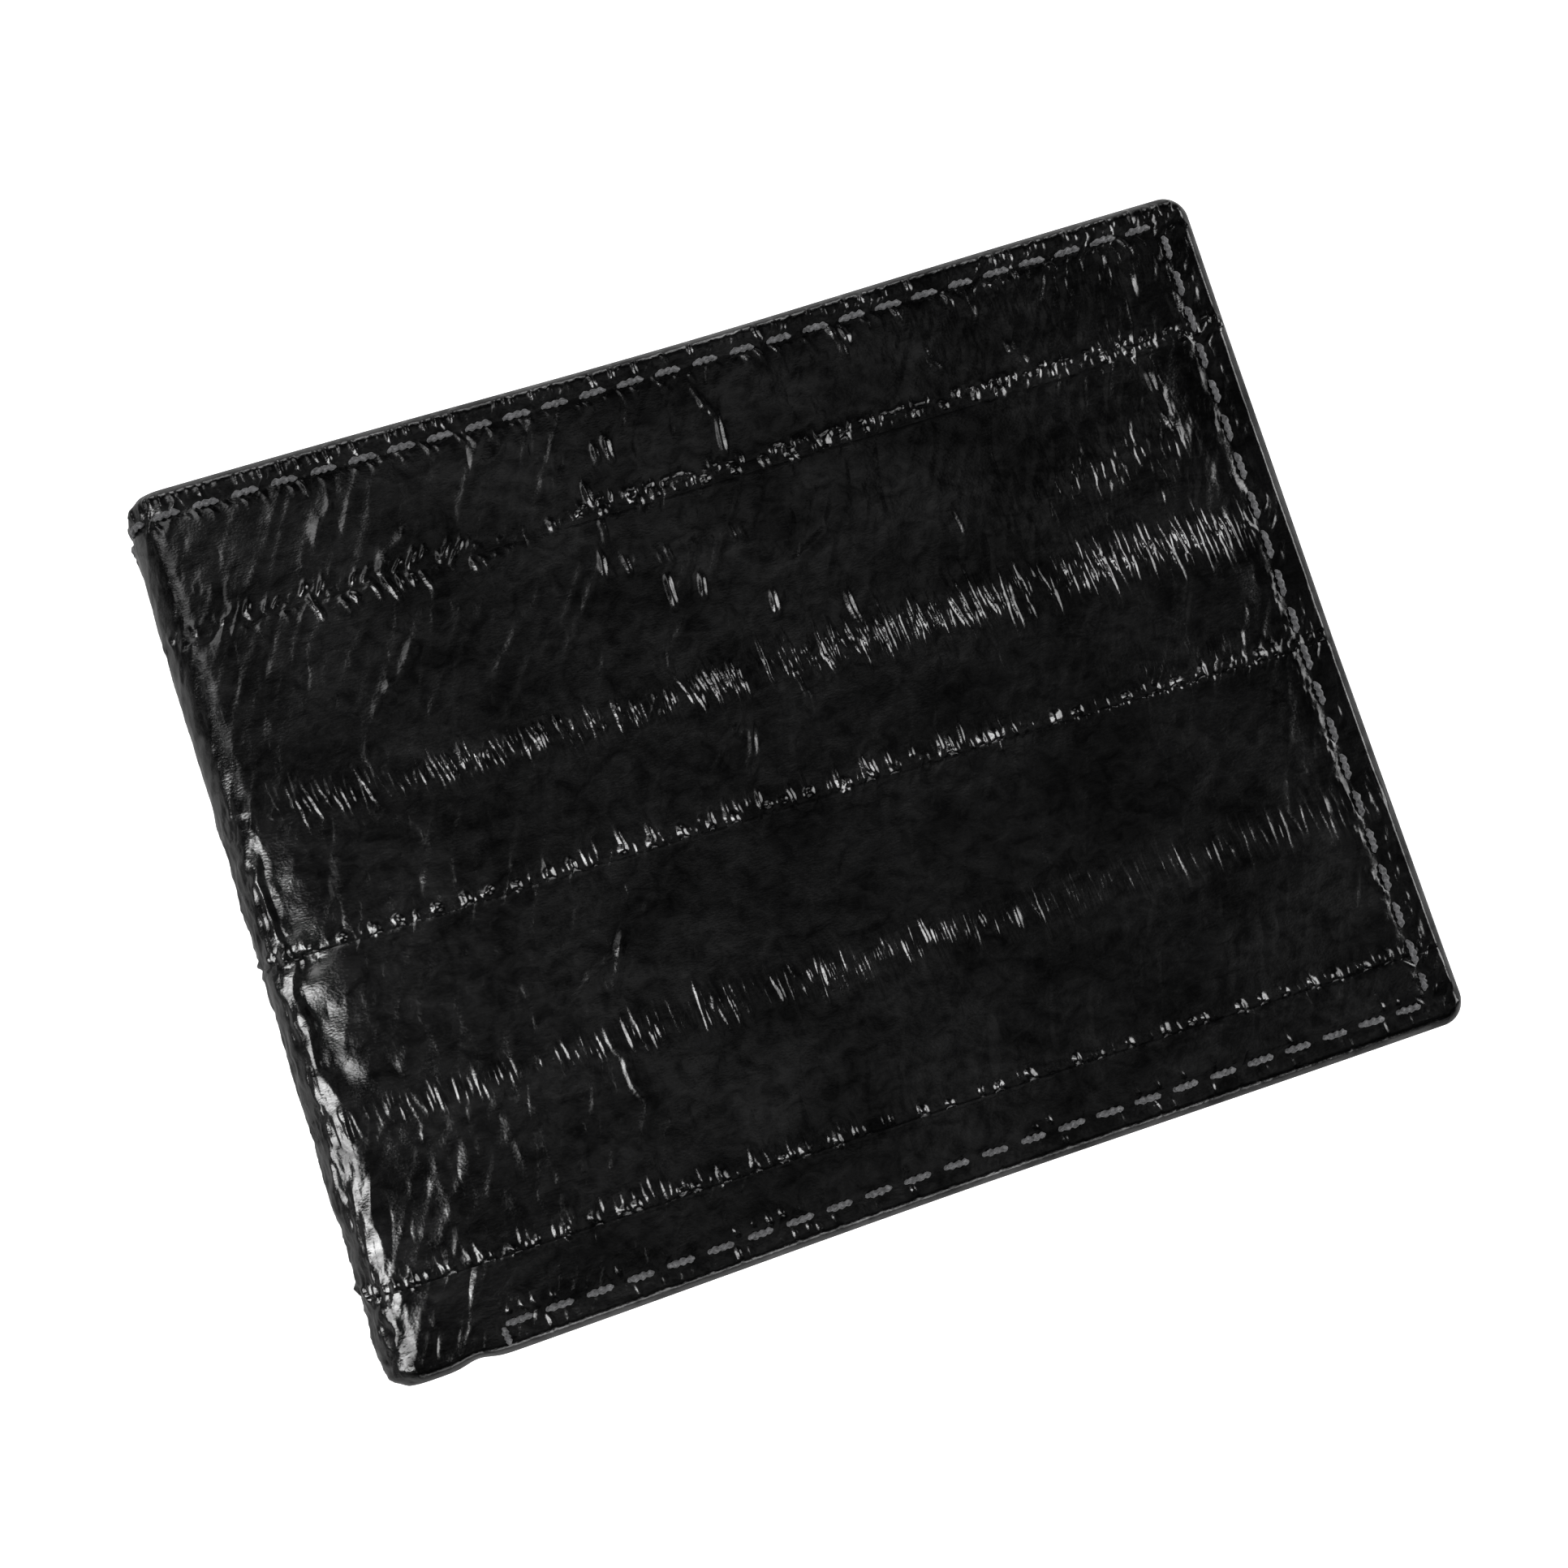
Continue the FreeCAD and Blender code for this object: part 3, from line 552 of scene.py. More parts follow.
def front_seams(u, v):
    """The front cover's three seams and the nips beside them. The first is busiest near the
    spine and past the middle; the second has a beaded end."""
    first, second, third = (TOP - edge for edge in SEAMS)
    h = seam_line(u, v, first + 0.35, 20) * (0.35 + 0.65 * ramp(u, 36, 42))
    h += 0.36 * ridges(
        u, v, first - 0.9, pitch=1.5, reach=0.8, width=0.3, lean=-0.7, seed=23, sparse=0.9
    ) * window(u, 8, 31, 2)
    h += 0.32 * ridges(
        u, v, first + 1.3, pitch=1.4, reach=1.0, width=0.28, lean=0.4, seed=25, sparse=1.1
    ) * window(u, 9, 34, 3)
    curls = ridged(u / 0.85, v / 0.7, 27, 1) ** 2
    h += 0.30 * curls * bump(v - first + 1.1, 0.55) * ramp(u, 40, 46)
    h += seam_line(u, v, second, 30)
    h += 0.27 * ridges(
        u, v, second - 1.5, pitch=1.3, reach=0.9, width=0.22, lean=0.12, seed=33, sparse=1.6
    ) * window(u, 30, 76, 6)
    h += 0.20 * ridges(
        u, v, second + 0.15, pitch=0.8, reach=0.2, width=0.2, lean=0.0, seed=35, sparse=0.8
    ) * ramp(u, 80, 86)
    h += seam_line(u, v, third, 40)
    return h + 0.13 * ridges(
        u, v, third - 1.3, pitch=0.95, reach=1.0, width=0.22, lean=0.1, seed=43, sparse=1.2
    ) * (1 - ramp(u, 40, 66))


def front_bands(u, v):
    """The two dorsal bands. The upper bends up at the spine; the lower fades to even low ridges."""
    lively = 0.8 + 0.2 * ramp(u, 32, 46)
    rise = 1.8 * bump(u - 4, 9)
    tall = 1.5 + 0.6 * ramp(u, 38, 58)
    h = lively * dorsal_band(u, v, UPPER_BAND - rise, tall, 61) * window(u, 7, 107, 2)
    fading = 0.30 + 0.70 * (1 - ramp(u, 70, 86))
    narrow = 1.0 + 0.8 * ramp(u, 22, 40)
    h += 0.75 * fading * dorsal_band(u, v, LOWER_BAND, narrow, 71)
    return h + 0.085 * ridges(
        u, v, LOWER_BAND + 0.4, pitch=0.9, reach=1.8, width=0.2, lean=0.1, seed=75, sparse=0.3
    ) * ramp(u, 40, 55)


def front_relief(u, y):
    """Height of the front cover's skin above its plain face. The lower skins are smoother, and
    past the pocket stack's edge the skin lies a little lower."""
    v = TOP - y
    third = TOP - SEAMS[2]
    lower_skins = ramp(v, third - 33, third - 30) * ramp(u, 30, 60)
    h = texture(u, v, 3) * (1 - 0.35 * lower_skins)
    h += front_seams(u, v) + front_bands(u, v)
    for line in CREASES:
        h += crease(u, v, *line)
    h += 0.24 * ridges(
        u, v, 20.8, pitch=1.5, reach=0.7, width=0.26, lean=0.3, seed=45, sparse=0.6
    ) * window(u, 44, 58, 1)
    h += fan(u, v) + slants(u, v) + hatch(u, v)
    h += -0.12 * ramp(u, MARGIN_FROM, MARGIN_FROM + 2.8) * window(v, 16, 80, 5)
    h += stitch_row(u, v)
    return h * ramp(u, SPINE_MID, SPINE_MID + 3) + spine_relief(u, v)


def back_relief(u, y):
    """Height of the back cover's skin: the same kinds of ridges in a pattern of its own."""
    v = TOP - y
    h = texture(u, v, 103)
    for k, edge in enumerate(SEAMS):
        h += seam_line(u, v, TOP - edge, 120 + 10 * k)
        h += 0.14 * ridges(
            u, v, TOP - edge - 1.3, pitch=1.2, reach=0.9, width=0.22, lean=0.1,
            seed=123 + 10 * k, sparse=1.6
        )
    h += dorsal_band(u, v, 33.6 + 0.5 * np.sin(u / 17), 1.9, 161)
    h += 0.8 * dorsal_band(u, v, 64.0 - 0.4 * np.sin(u / 21), 1.7, 171)
    h += stitch_row(u, v)
    return h * ramp(u, SPINE_MID, SPINE_MID + 3) + spine_relief(u, v)


RELIEF = {"front": front_relief, "back": back_relief}

# ---------------------------------------------------------------- materials


class Nodes:
    """The shader nodes of a material or world, added and linked by socket name."""

    def __init__(self, owner, last="Principled BSDF"):
        owner.use_nodes = True
        self.owner = owner
        self.tree = owner.node_tree
        self.shader = self.tree.nodes[last]

    def add(self, kind, operation=None, **sockets):
        node = self.tree.nodes.new(kind)
        if operation:
            node.operation = operation
        self.set(node, **sockets)
        return node

    def set(self, node, **sockets):
        """Each socket by name, or by number as _0 and _1, gets a value or a (node, output)."""
        for name, value in sockets.items():
            name = int(name[1:]) if name[0] == "_" else name.replace("_", " ")
            if isinstance(value, tuple) and isinstance(value[0], bpy.types.Node):
                self.tree.links.new(value[0].outputs[value[1]], node.inputs[name])
            else:
                node.inputs[name].default_value = value

    def rest(self, scale):
        """The piece's own sheet coordinates, in mm, stretched by scale."""
        attribute = self.add("ShaderNodeAttribute")
        attribute.attribute_name = "rest"
        mapping = self.add("ShaderNodeMapping", Vector=(attribute, "Vector"), Scale=scale)
        return mapping, "Vector"

    def ramp(self, source, low, high, first, last):
        node = self.add("ShaderNodeMapRange", Value=source, From_Min=low, From_Max=high,
                        To_Min=first, To_Max=last)
        return node, "Result"

    def shaded(self, colour, tone):
        """The colour made darker or lighter by tone."""
        node = self.add("ShaderNodeVectorMath", "SCALE", _0=colour, Scale=tone)
        return node, "Vector"


def leather(name, shade, rough, coat, gloss, grain, bump_height, dull_from=LENGTH):
    """Dyed leather: uneven dye and gloss (lowest and highest), with pores and fine lengthwise
    fibres. Beyond dull_from (mm from the spine) it is less polished."""
    n = Nodes(bpy.data.materials.new(name))
    cloudy = n.add("ShaderNodeTexNoise", Vector=n.rest((0.09, 0.12, 0.1)), Scale=1.0, Detail=5.0)
    pores = n.add("ShaderNodeTexVoronoi", Vector=n.rest((grain, grain * 1.6, grain)), Scale=1.0)
    fibres = n.add("ShaderNodeTexNoise", Vector=n.rest((grain * 0.35, grain * 1.4, grain)),
                   Scale=1.0, Detail=6.0, Roughness=0.62)
    mottle = n.add("ShaderNodeTexNoise", Vector=n.rest((0.45, 0.6, 0.5)), Scale=1.0, Detail=7.0,
                   Roughness=0.68, Distortion=0.6)
    parts = n.add("ShaderNodeSeparateXYZ", Vector=n.rest((1, 1, 1)))
    polish = n.ramp((parts, "X"), dull_from, dull_from + 2.0, 1.0, 0.5)
    uneven = n.add("ShaderNodeMath", "MULTIPLY", _0=n.ramp((mottle, "Fac"), 0.36, 0.64, *gloss),
                   _1=n.ramp((cloudy, "Fac"), 0.38, 0.62, 0.75, 1.3))
    shine = n.add("ShaderNodeMath", "MULTIPLY", _0=polish, _1=(uneven, "Value"))
    height = n.add("ShaderNodeMath", "MULTIPLY_ADD", _0=(fibres, "Fac"), _1=1.4, _2=(pores, "Distance"))
    relief = n.add("ShaderNodeBump", Strength=1.0, Distance=bump_height * MM, Height=(height, "Value"))
    n.set(n.shader, Base_Color=n.shaded(shade, n.ramp((cloudy, "Fac"), 0.3, 0.7, 0.6, 1.5)),
          Roughness=n.ramp((fibres, "Fac"), 0.25, 0.75, rough - 0.05, rough + 0.07),
          Normal=(relief, "Normal"), Coat_Roughness=0.15, Coat_Normal=(relief, "Normal"),
          Coat_Weight=n.ramp((cloudy, "Fac"), 0.35, 0.65, 0.4 * coat, 1.6 * coat),
          Specular_IOR_Level=(shine, "Value"))
    return n.owner


def woven(name, shade, pitch):
    """A plain weave of fine threads."""
    n = Nodes(bpy.data.materials.new(name))
    turns = 2 * math.pi / pitch
    parts = n.add("ShaderNodeSeparateXYZ", Vector=n.rest((turns, turns, turns)))
    warp = n.add("ShaderNodeMath", "SINE", _0=(parts, "X"))
    weft = n.add("ShaderNodeMath", "SINE", _0=(parts, "Y"))
    weave = n.add("ShaderNodeMath", "MULTIPLY", _0=(warp, "Value"), _1=(weft, "Value"))
    relief = n.add("ShaderNodeBump", Strength=0.6, Distance=0.03 * MM, Height=(weave, "Value"))
    n.set(n.shader, Base_Color=n.shaded(shade, n.ramp((weave, "Value"), -1, 1, 0.6, 1.4)),
          Roughness=0.62, Normal=(relief, "Normal"), Sheen_Weight=0.25, Sheen_Roughness=0.4)
    return n.owner


def waxed_thread():
    """Twisted thread with fibres that stand off. The raised fibres are painted lighter in the colour: a
    painted highlight.
    """
    n = Nodes(bpy.data.materials.new("waxed_thread"))
    fuzz_and_glint = n.add("ShaderNodeTexNoise", Vector=n.rest((2.6, 2.6, 2.6)), Scale=1.0, Detail=6.0,
                 Roughness=0.75)
    relief = n.add("ShaderNodeBump", Strength=0.9, Distance=0.06 * MM, Height=(fuzz_and_glint, "Fac"))
    n.set(n.shader, Roughness=0.45, Normal=(relief, "Normal"), Sheen_Weight=0.3,
          # Base colour lighter where the fibres stand off: a painted highlight on the thread.
          Base_Color=n.shaded((0.07, 0.07, 0.073), n.ramp((fuzz_and_glint, "Fac"), 0.35, 0.65, 0.1, 2.4)),
          Sheen_Roughness=0.5)
    return n.owner


def clear_sheet():
    """Flexible plastic with a faint haze."""
    n = Nodes(bpy.data.materials.new("clear_sheet"))
    haze = n.add("ShaderNodeTexNoise", Vector=n.rest((0.25, 0.4, 0.3)), Scale=1.0, Detail=4.0)
    n.set(n.shader, Base_Color=(0.86, 0.88, 0.88, 1), IOR=1.46, Alpha=0.45,
          Transmission_Weight=n.ramp((haze, "Fac"), 0.35, 0.7, 0.97, 0.90),
          Roughness=n.ramp((haze, "Fac"), 0.35, 0.7, 0.04, 0.16))
    return n.owner


EEL = leather("eel_skin", (0.0007, 0.0007, 0.0008), rough=0.18, coat=0.30, gloss=(0.2, 0.9),
              grain=3.2, bump_height=0.009, dull_from=STACK_RIGHT - 7.0)
INNER = leather("inner_leather", (0.009, 0.0088, 0.0085), rough=0.42, coat=0.10,
                gloss=(0.35, 0.65), grain=2.6, bump_height=0.04)
BOARD = woven("bonded_board", (0.03, 0.03, 0.03), 0.9)
LINING = woven("lining_cloth", (0.018, 0.018, 0.020), 0.45)
THREAD = waxed_thread()
CLEAR = clear_sheet()

# ---------------------------------------------------------------- outer skin


def edge_gap(u, y):
    """How far inside the cover's three free edges."""
    return np.minimum(np.minimum(LENGTH - u, TOP - y), y - BOTTOM)


# Distance between mesh points: lengthwise, fine enough for the ridges on the front, and across.
SKIN_STEP = {"front": 0.118, "back": 0.24}
SKIN_ROW_STEP = 0.48


def skin_strips():
    """The four strips of each half. They lie together, edge to edge, and wrap the cover's edge."""
    edges = [TOP] + SEAMS + [BOTTOM]
    for side in HALVES:
        along = graded(SPINE_MID, LENGTH, SKIN_STEP[side], round_end=True)
        near = SEAMS + [TOP - STITCH_INSET, BOTTOM + STITCH_INSET, TOP - UPPER_BAND]

        def face(u, y, side=side):
            gap = edge_gap(u, y)
            rolled = EDGE_DROP * np.clip(1 - gap / EDGE_R, 0, 1) ** 1.5
            return rolled - RELIEF[side](u, y) * ramp(gap, 0.0, 0.7)

        def rear(u, y):
            return np.where(edge_gap(u, y) < 1, LINING_DEPTHS[1], SKIN[1])

        for index in range(1, len(edges)):
            across = graded(edges[index], edges[index - 1], SKIN_ROW_STEP, near,
                            round_start=index == len(edges) - 1, round_end=index == 1)
            obj = slab(f"{side}_eel_skin_{index}", side, along, across, face, rear, EEL,
                       warp=OUTLINE[side], ruled=True)
            dress(obj, "eel_skin", *nodes_of(side, f"skin_strip_{index}"))
            bend_with_spine(obj, side, SKIN[1] / 2)


# ---------------------------------------------------------------- sewing thread

COVER_THREAD_R = 0.28
INNER_THREAD_R = 0.30
STITCH_LENGTH = 2.6
STITCH_PITCH = 3.95
STITCH_SHARE = 0.75
THREAD_SIDES = 12
THREAD_POINTS = 25


def thread_mesh(points, ups, thread_r, seed):
    """A fuzzy two-ply thread along points; ups are the surface normals there."""
    tangents = np.gradient(points, axis=0)
    tangents /= np.linalg.norm(tangents, axis=1)[:, None]
    sides = np.cross(tangents, ups)
    sides /= np.linalg.norm(sides, axis=1)[:, None]
    ups = np.cross(sides, tangents)
    angle = np.arange(THREAD_SIDES) * 2 * math.pi / THREAD_SIDES
    along = np.linspace(0, 1, len(points))
    taper = np.sqrt(np.clip(1 - (2 * along - 1) ** 6, 0.05, 1))
    ply = 1 + 0.25 * np.cos(2 * angle[None] - 7 * math.pi * along[:, None])
    hair = 1 + 0.16 * noise(angle[None] * 2.5, along[:, None] * 9, seed)
    radius = thread_r * MM * taper[:, None] * ply * hair
    vertices = points[:, None] + radius[..., None] * (
        np.cos(angle)[None, :, None] * sides[:, None] + np.sin(angle)[None, :, None] * ups[:, None])
    faces = []
    for k in range(len(points) - 1):
        for j in range(THREAD_SIDES):
            a, b = k * THREAD_SIDES + j, k * THREAD_SIDES + (j + 1) % THREAD_SIDES
            faces.append([a, b, b + THREAD_SIDES, a + THREAD_SIDES])
    faces.append(list(range(THREAD_SIDES))[::-1])
    faces.append([(len(points) - 1) * THREAD_SIDES + j for j in range(THREAD_SIDES)])
    return vertices.reshape(-1, 3), faces


def stitches(name, side, lines, surface, thread_r, arch, warp=None):
    """Stitches along lines of (start, end) in sheet space. surface gives the leather's depth, and
    arch how far the middle of a stitch stands off it, negative towards the inside. No two are
    quite alike in length and slant."""
    vertices, faces = [], []
    total = 0
    for start, end in lines:
        start, end = np.array(start, float), np.array(end, float)
        length = np.linalg.norm(end - start)
        count = max(1, round(length / STITCH_PITCH))
        unit = (end - start) / length
        for k in range(count):
            seed = float(np.sum(start)) + k
            reach = min(STITCH_LENGTH, STITCH_SHARE * length / count) / 2
            reach *= 0.94 + 0.14 * float(lattice(seed, 1.0, 7))
            tilt = 0.08 * float(lattice(seed, 2.0, 7) - 0.5)
            middle = start + unit * length * (k + 0.5) / count
            t = np.linspace(-1, 1, THREAD_POINTS)
            path = middle + t[:, None] * reach * (unit + tilt * np.array([-unit[1], unit[0]]))
            u, y = path[:, 0], path[:, 1]
            depth = surface(u, y) - arch * (1 - 2 * np.abs(t) ** 5)
            if warp:
                u, y = warp(u, y)
            points = place(side, u, y, depth)
            ups = points - place(side, u, y, depth + arch)
            ups /= np.linalg.norm(ups, axis=1)[:, None]
            more, its_faces = thread_mesh(points, ups, thread_r, seed)
            vertices.append(more)
            faces += [[i + total for i in face] for face in its_faces]
            total += len(more)
    vertices = np.concatenate(vertices)
    return link(name, vertices, faces, vertices / MM, THREAD)


def perimeter_stitches():
    """The outer seam on three sides, and the short stitch where its bottom row starts. The front
    half's top row begins at the middle of the spine, and the back half's a stitch later."""
    high, low = TOP - STITCH_INSET, BOTTOM + STITCH_INSET
    for side in HALVES:
        first = SPINE_MID + (0.6 if side == "front" else 3.0)
        lines = (
            ((first, high), (ROW_X - 0.4, high)),
            ((ROW_X, high - 0.6), (ROW_X, low + 0.6)),
            ((SEWN_FROM, low), (ROW_X - 0.4, low)),
            ((SEWN_FROM + 0.4, low - 0.1), (SEWN_FROM + 0.7, BOTTOM + 0.9)),
        )
        obj = stitches(f"{side}_edge_stitching", side, lines,
                       lambda u, y, side=side: -RELIEF[side](u, y), COVER_THREAD_R, 0.22,
                       warp=OUTLINE[side])
        nodes = [f"{side}_perimeter_stitching"] + (["spine_stitching"] if side == "front" else [])
        dress(obj, "thread", *nodes)
        bend_with_spine(obj, side, SKIN[1] / 2)


# ---------------------------------------------------------------- board, lining and inner panel


# Distance between mesh points of the inner layers: plain, and near their sewing and hems.
INNER_STEP = 0.8
INNER_ROW_STEP = 0.9
SEWN_STEP = 0.2
HEM_STEP = 0.18


def backing():
    """The board that stiffens the skin, and the cloth that lines the banknote compartment."""
    kinds = (
        ("board", "interlining", BOARD_DEPTHS, BOARD, "board"),
        ("lining", "bill_lining", LINING_DEPTHS, LINING, "lining_cloth"),
    )
    for side in HALVES:
        for name, layer, (outer, inner), material, slot in kinds:
            along = graded(SPINE_MID, LENGTH - LINING_INSET, INNER_STEP)
            across = graded(BOTTOM + LINING_INSET, TOP - LINING_INSET, INNER_STEP)

            def face(u, y, inner=inner):
                soft = 0.04 * fractal(u / 9, y / 8, 301)
                return inner - 0.04 + soft * ramp(u, FOLD_R, FOLD_R + 4)

            obj = slab(f"{side}_{name}", side, along, across, face, outer, material,
                       warp=cover_warp(LINING_INSET))
            dress(obj, slot, *nodes_of(side, layer))
            bend_with_spine(obj, side, (outer + inner) / 2)


RIM_WIDTH = 3.5
HEM = 1.8
STACK_CORNER_R = 1.4
CAD_THREAD_R = 0.28
ROWS_LOW, ROWS_HIGH = box_mm("front_inner_stitching")
INNER_ROW_X = ROWS_HIGH[0] - LEFT - CAD_THREAD_R
FOLD_ROW_X = ROWS_LOW[0] - LEFT + CAD_THREAD_R
LOW_ROW_Y = ROWS_LOW[1] + CAD_THREAD_R
SLOT_TOPS = [box_mm(f"front_card_pocket_{i}")[1][1] for i in (1, 2, 3)]


def inner_groove(u, y):
    """The thread's channel in the inner faces: the three rows round the pocket stack."""
    sewn_high = np.where(u > STACK_RIGHT - RIM_WIDTH, PANEL_TOP, SLOT_TOPS[0])
    upright = np.minimum(np.abs(u - INNER_ROW_X), np.abs(u - FOLD_ROW_X)) + 9 * (y > sewn_high)
    row = np.minimum(upright, np.abs(y - LOW_ROW_Y) + 9 * (u < FOLD_ROW_X))
    return 0.34 * bump(row, 0.5) + 0.08 * bump(row, 1.5)


def inner_panels():
    """The leather that closes the banknote compartment, with its sewn rims and open mouth."""
    outer, inner = PANEL_DEPTHS
    for side in HALVES:
        near = [INNER_ROW_X, FOLD_ROW_X]
        along = graded(SPINE_MID, STACK_RIGHT, INNER_STEP, near, SEWN_STEP, round_end=True)
        across = graded(STACK_BOTTOM, PANEL_TOP, INNER_ROW_STEP,
                        [LOW_ROW_Y, PANEL_TOP, PANEL_TOP - HEM], HEM_STEP,
                        round_start=True, round_end=True)

        def face(u, y):
            gap = np.minimum(np.minimum(STACK_RIGHT - u, PANEL_TOP - y), y - STACK_BOTTOM)
            hem = -0.2 * bump(PANEL_TOP - y - HEM, 0.3)
            soft = 0.06 * fractal(u / 8, y / 9, 311) * ramp(STACK_LEFT - u, 0, 1)
            crumple = 0.10 * ridged(u / 2.4, y / 5, 317) * (1 - ramp(u, 2, 5)) - 0.05
            return inner - rounded(gap, 0.22) - inner_groove(u, y) + hem + soft + crumple

        def rear(u, y):
            rim = np.maximum(ramp(u, STACK_RIGHT - RIM_WIDTH - 0.5, STACK_RIGHT - RIM_WIDTH),
                             ramp(-y, -STACK_BOTTOM - RIM_WIDTH - 0.5, -STACK_BOTTOM - RIM_WIDTH)
                             * ramp(u, FOLD_R + 1, FOLD_R + 2))
            return outer - rim * (outer - LINING_DEPTHS[1])

        obj = slab(f"{side}_inner_panel_leather", side, along, across, face, rear, INNER,
                   warp=panel_warp)
        dress(obj, "inner_leather", *nodes_of(side, "inner_panel"))
        bend_with_spine(obj, side, (outer + inner) / 2)


def panel_warp(along, across):
    """The panel's mouth edge sags a little in the middle and dips where it rounds the spine."""
    sag = 0.5 * bump(along - 58, 34) * ramp(across, 20, PANEL_TOP)
    dip = spine_end_dip(along) * np.abs(across / TOP) ** 3 * np.sign(across)
    x, y = round_corner(LEFT + along, across, LEFT + STACK_RIGHT, STACK_BOTTOM, STACK_CORNER_R)
    return x - LEFT, y - sag - dip


# ---------------------------------------------------------------- pockets

# A pocket front is LEATHER thick over the card's room, with CARD_SLACK to spare.
LEATHER = 0.55
CARD_SLACK = 0.1
RECESS_HALF = 43.8
RECESS_DEEP = 46.5
STACK_MID = (STACK_LEFT + STACK_RIGHT) / 2
SLOT_SAG = 0.35


def with_places(values, places):
    """values with each of the places added, in the stead of any value right beside it."""
    for spot in places:
        values = np.unique(np.append(values[np.abs(values - spot) > 0.05], spot))
    return values


def pocket(name, side, node, depths, seed, hole=None, warp=None, near_u=(), near_y=()):
    """A pocket front: a leather sheet with a turned slot edge, open behind for a card and sewn
    down on its other three sides."""
    outer, inner = depths
    low, high = box_mm(node)
    slot, bottom = high[1], low[1]
    along = graded(STACK_LEFT, STACK_RIGHT, INNER_STEP, [INNER_ROW_X, FOLD_ROW_X, *near_u],
                   SEWN_STEP, round_start=True, round_end=True)
    across = graded(bottom, slot, INNER_ROW_STEP, [LOW_ROW_Y, slot, slot - HEM, *near_y],
                    HEM_STEP, round_start=True, round_end=True)
    along, across = with_places(along, near_u), with_places(across, near_y)

    def face(u, y):
        sides = np.minimum(np.minimum(u - STACK_LEFT, STACK_RIGHT - u), y - bottom)
        edge = rounded(sides, 0.3) + rounded(slot - y, 0.26)
        hem = 0.26 * bump(slot - y - HEM, 0.3)
        soft = 0.07 * (0.6 + 0.6 * fractal(u / 14, y / 9, seed))
        return inner - edge - hem - soft - inner_groove(u, y)

    def rear(u, y):
        card = (1 - ramp(np.abs(u - STACK_MID), RECESS_HALF, RECESS_HALF + 0.6)) * ramp(
            y, slot - RECESS_DEEP - 0.6, slot - RECESS_DEEP)
        return outer + card * (inner - LEATHER - CARD_SLACK - outer)

    shape = warp or slot_warp(slot)
    obj = slab(name, side, along, across, face, rear, INNER, warp=shape, hole=hole)
    dress(obj, "inner_leather", node)
    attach(obj, BODY[side])


def slot_warp(slot):
    """The slot edge sags a little in the middle; the stack's outer low corner is rounded."""
    def warp(along, across):
        sag = SLOT_SAG * bump(along - STACK_MID, 30) * ramp(across, slot - 9, slot)
        x, y = round_corner(LEFT + along, across, LEFT + STACK_RIGHT, STACK_BOTTOM, STACK_CORNER_R)
        return x - LEFT, y - sag
    return warp


def card_pockets():
    """The plain card pockets of both halves, from the panel inwards."""
    stacks = {"front": (CARD_1, CARD_2, CARD_3), "back": (CARD_1, CARD_2)}
    for side in HALVES:
        for order, depths in enumerate(stacks[side], 1):
            node = f"{side}_card_pocket_{order}"
            pocket(f"{node}_leather", side, node, depths, 330 + 7 * order + len(side))


# The clear sheet reaches SHEET_LAP under the frame on every side.
SHEET_LAP = 2.5
WINDOW_LOW = (SHEET_LOW[0] - LEFT + SHEET_LAP, SHEET_LOW[1] + SHEET_LAP)
WINDOW_HIGH = (SHEET_HIGH[0] - LEFT - SHEET_LAP, SHEET_HIGH[1] - SHEET_LAP)
WINDOW_CORNER_R = 2.4
NOTCH_R = 9.0
NOTCH_RISE = 5.0


def window_pocket():
    """The frame for an identity card, with a rounded window, a thumb notch and a clear sheet."""
    slot = ID_HIGH[1]
    middle = [(WINDOW_LOW[i] + WINDOW_HIGH[i]) / 2 for i in (0, 1)]
    half = [(WINDOW_HIGH[i] - WINDOW_LOW[i]) / 2 for i in (0, 1)]

    def inside(u, y):
        return (np.abs(u - middle[0]) <= half[0] + 0.01) & (np.abs(y - middle[1]) <= half[1] + 0.01)

    def warp(along, across):
        x, y = along - middle[0], across - middle[1]
        for sx, sy in ((1, 1), (1, -1), (-1, 1), (-1, -1)):
            x, y = round_corner(x, y, sx * half[0], sy * half[1], WINDOW_CORNER_R)
        window = inside(along, across)
        u = np.where(window, x + middle[0], along)
        y = np.where(window, y + middle[1], across)
        chord = np.sqrt(np.clip(NOTCH_R**2 - (along - STACK_MID) ** 2, NOTCH_RISE**2, None))
        bar = np.clip((across - WINDOW_HIGH[1]) / (slot - WINDOW_HIGH[1]), 0, 1)
        x, y = round_corner(LEFT + u, y, LEFT + STACK_RIGHT, STACK_BOTTOM, STACK_CORNER_R)
        return x - LEFT, y - (chord - NOTCH_RISE) * bar

    pocket("id_frame_leather", "back", "id_pocket_frame", (ID_LOW[2], ID_HIGH[2]), 371,
           hole=inside, warp=warp, near_u=(WINDOW_LOW[0], WINDOW_HIGH[0]),
           near_y=(WINDOW_LOW[1], WINDOW_HIGH[1]))

    along = graded(SHEET_LOW[0] - LEFT, SHEET_HIGH[0] - LEFT, 2.0)
    across = graded(SHEET_LOW[1], SHEET_HIGH[1], 2.0)

    def bowed(u, y):
        return SHEET_HIGH[2] - 0.05 + 0.05 * fractal(u / 20, y / 16, 381)

    def under(u, y):
        return bowed(u, y) - 0.2

    obj = slab("id_clear_sheet", "back", along, across, bowed, under, CLEAR)
    dress(obj, "clear_sheet", "id_window")
    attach(obj, BODY["back"])


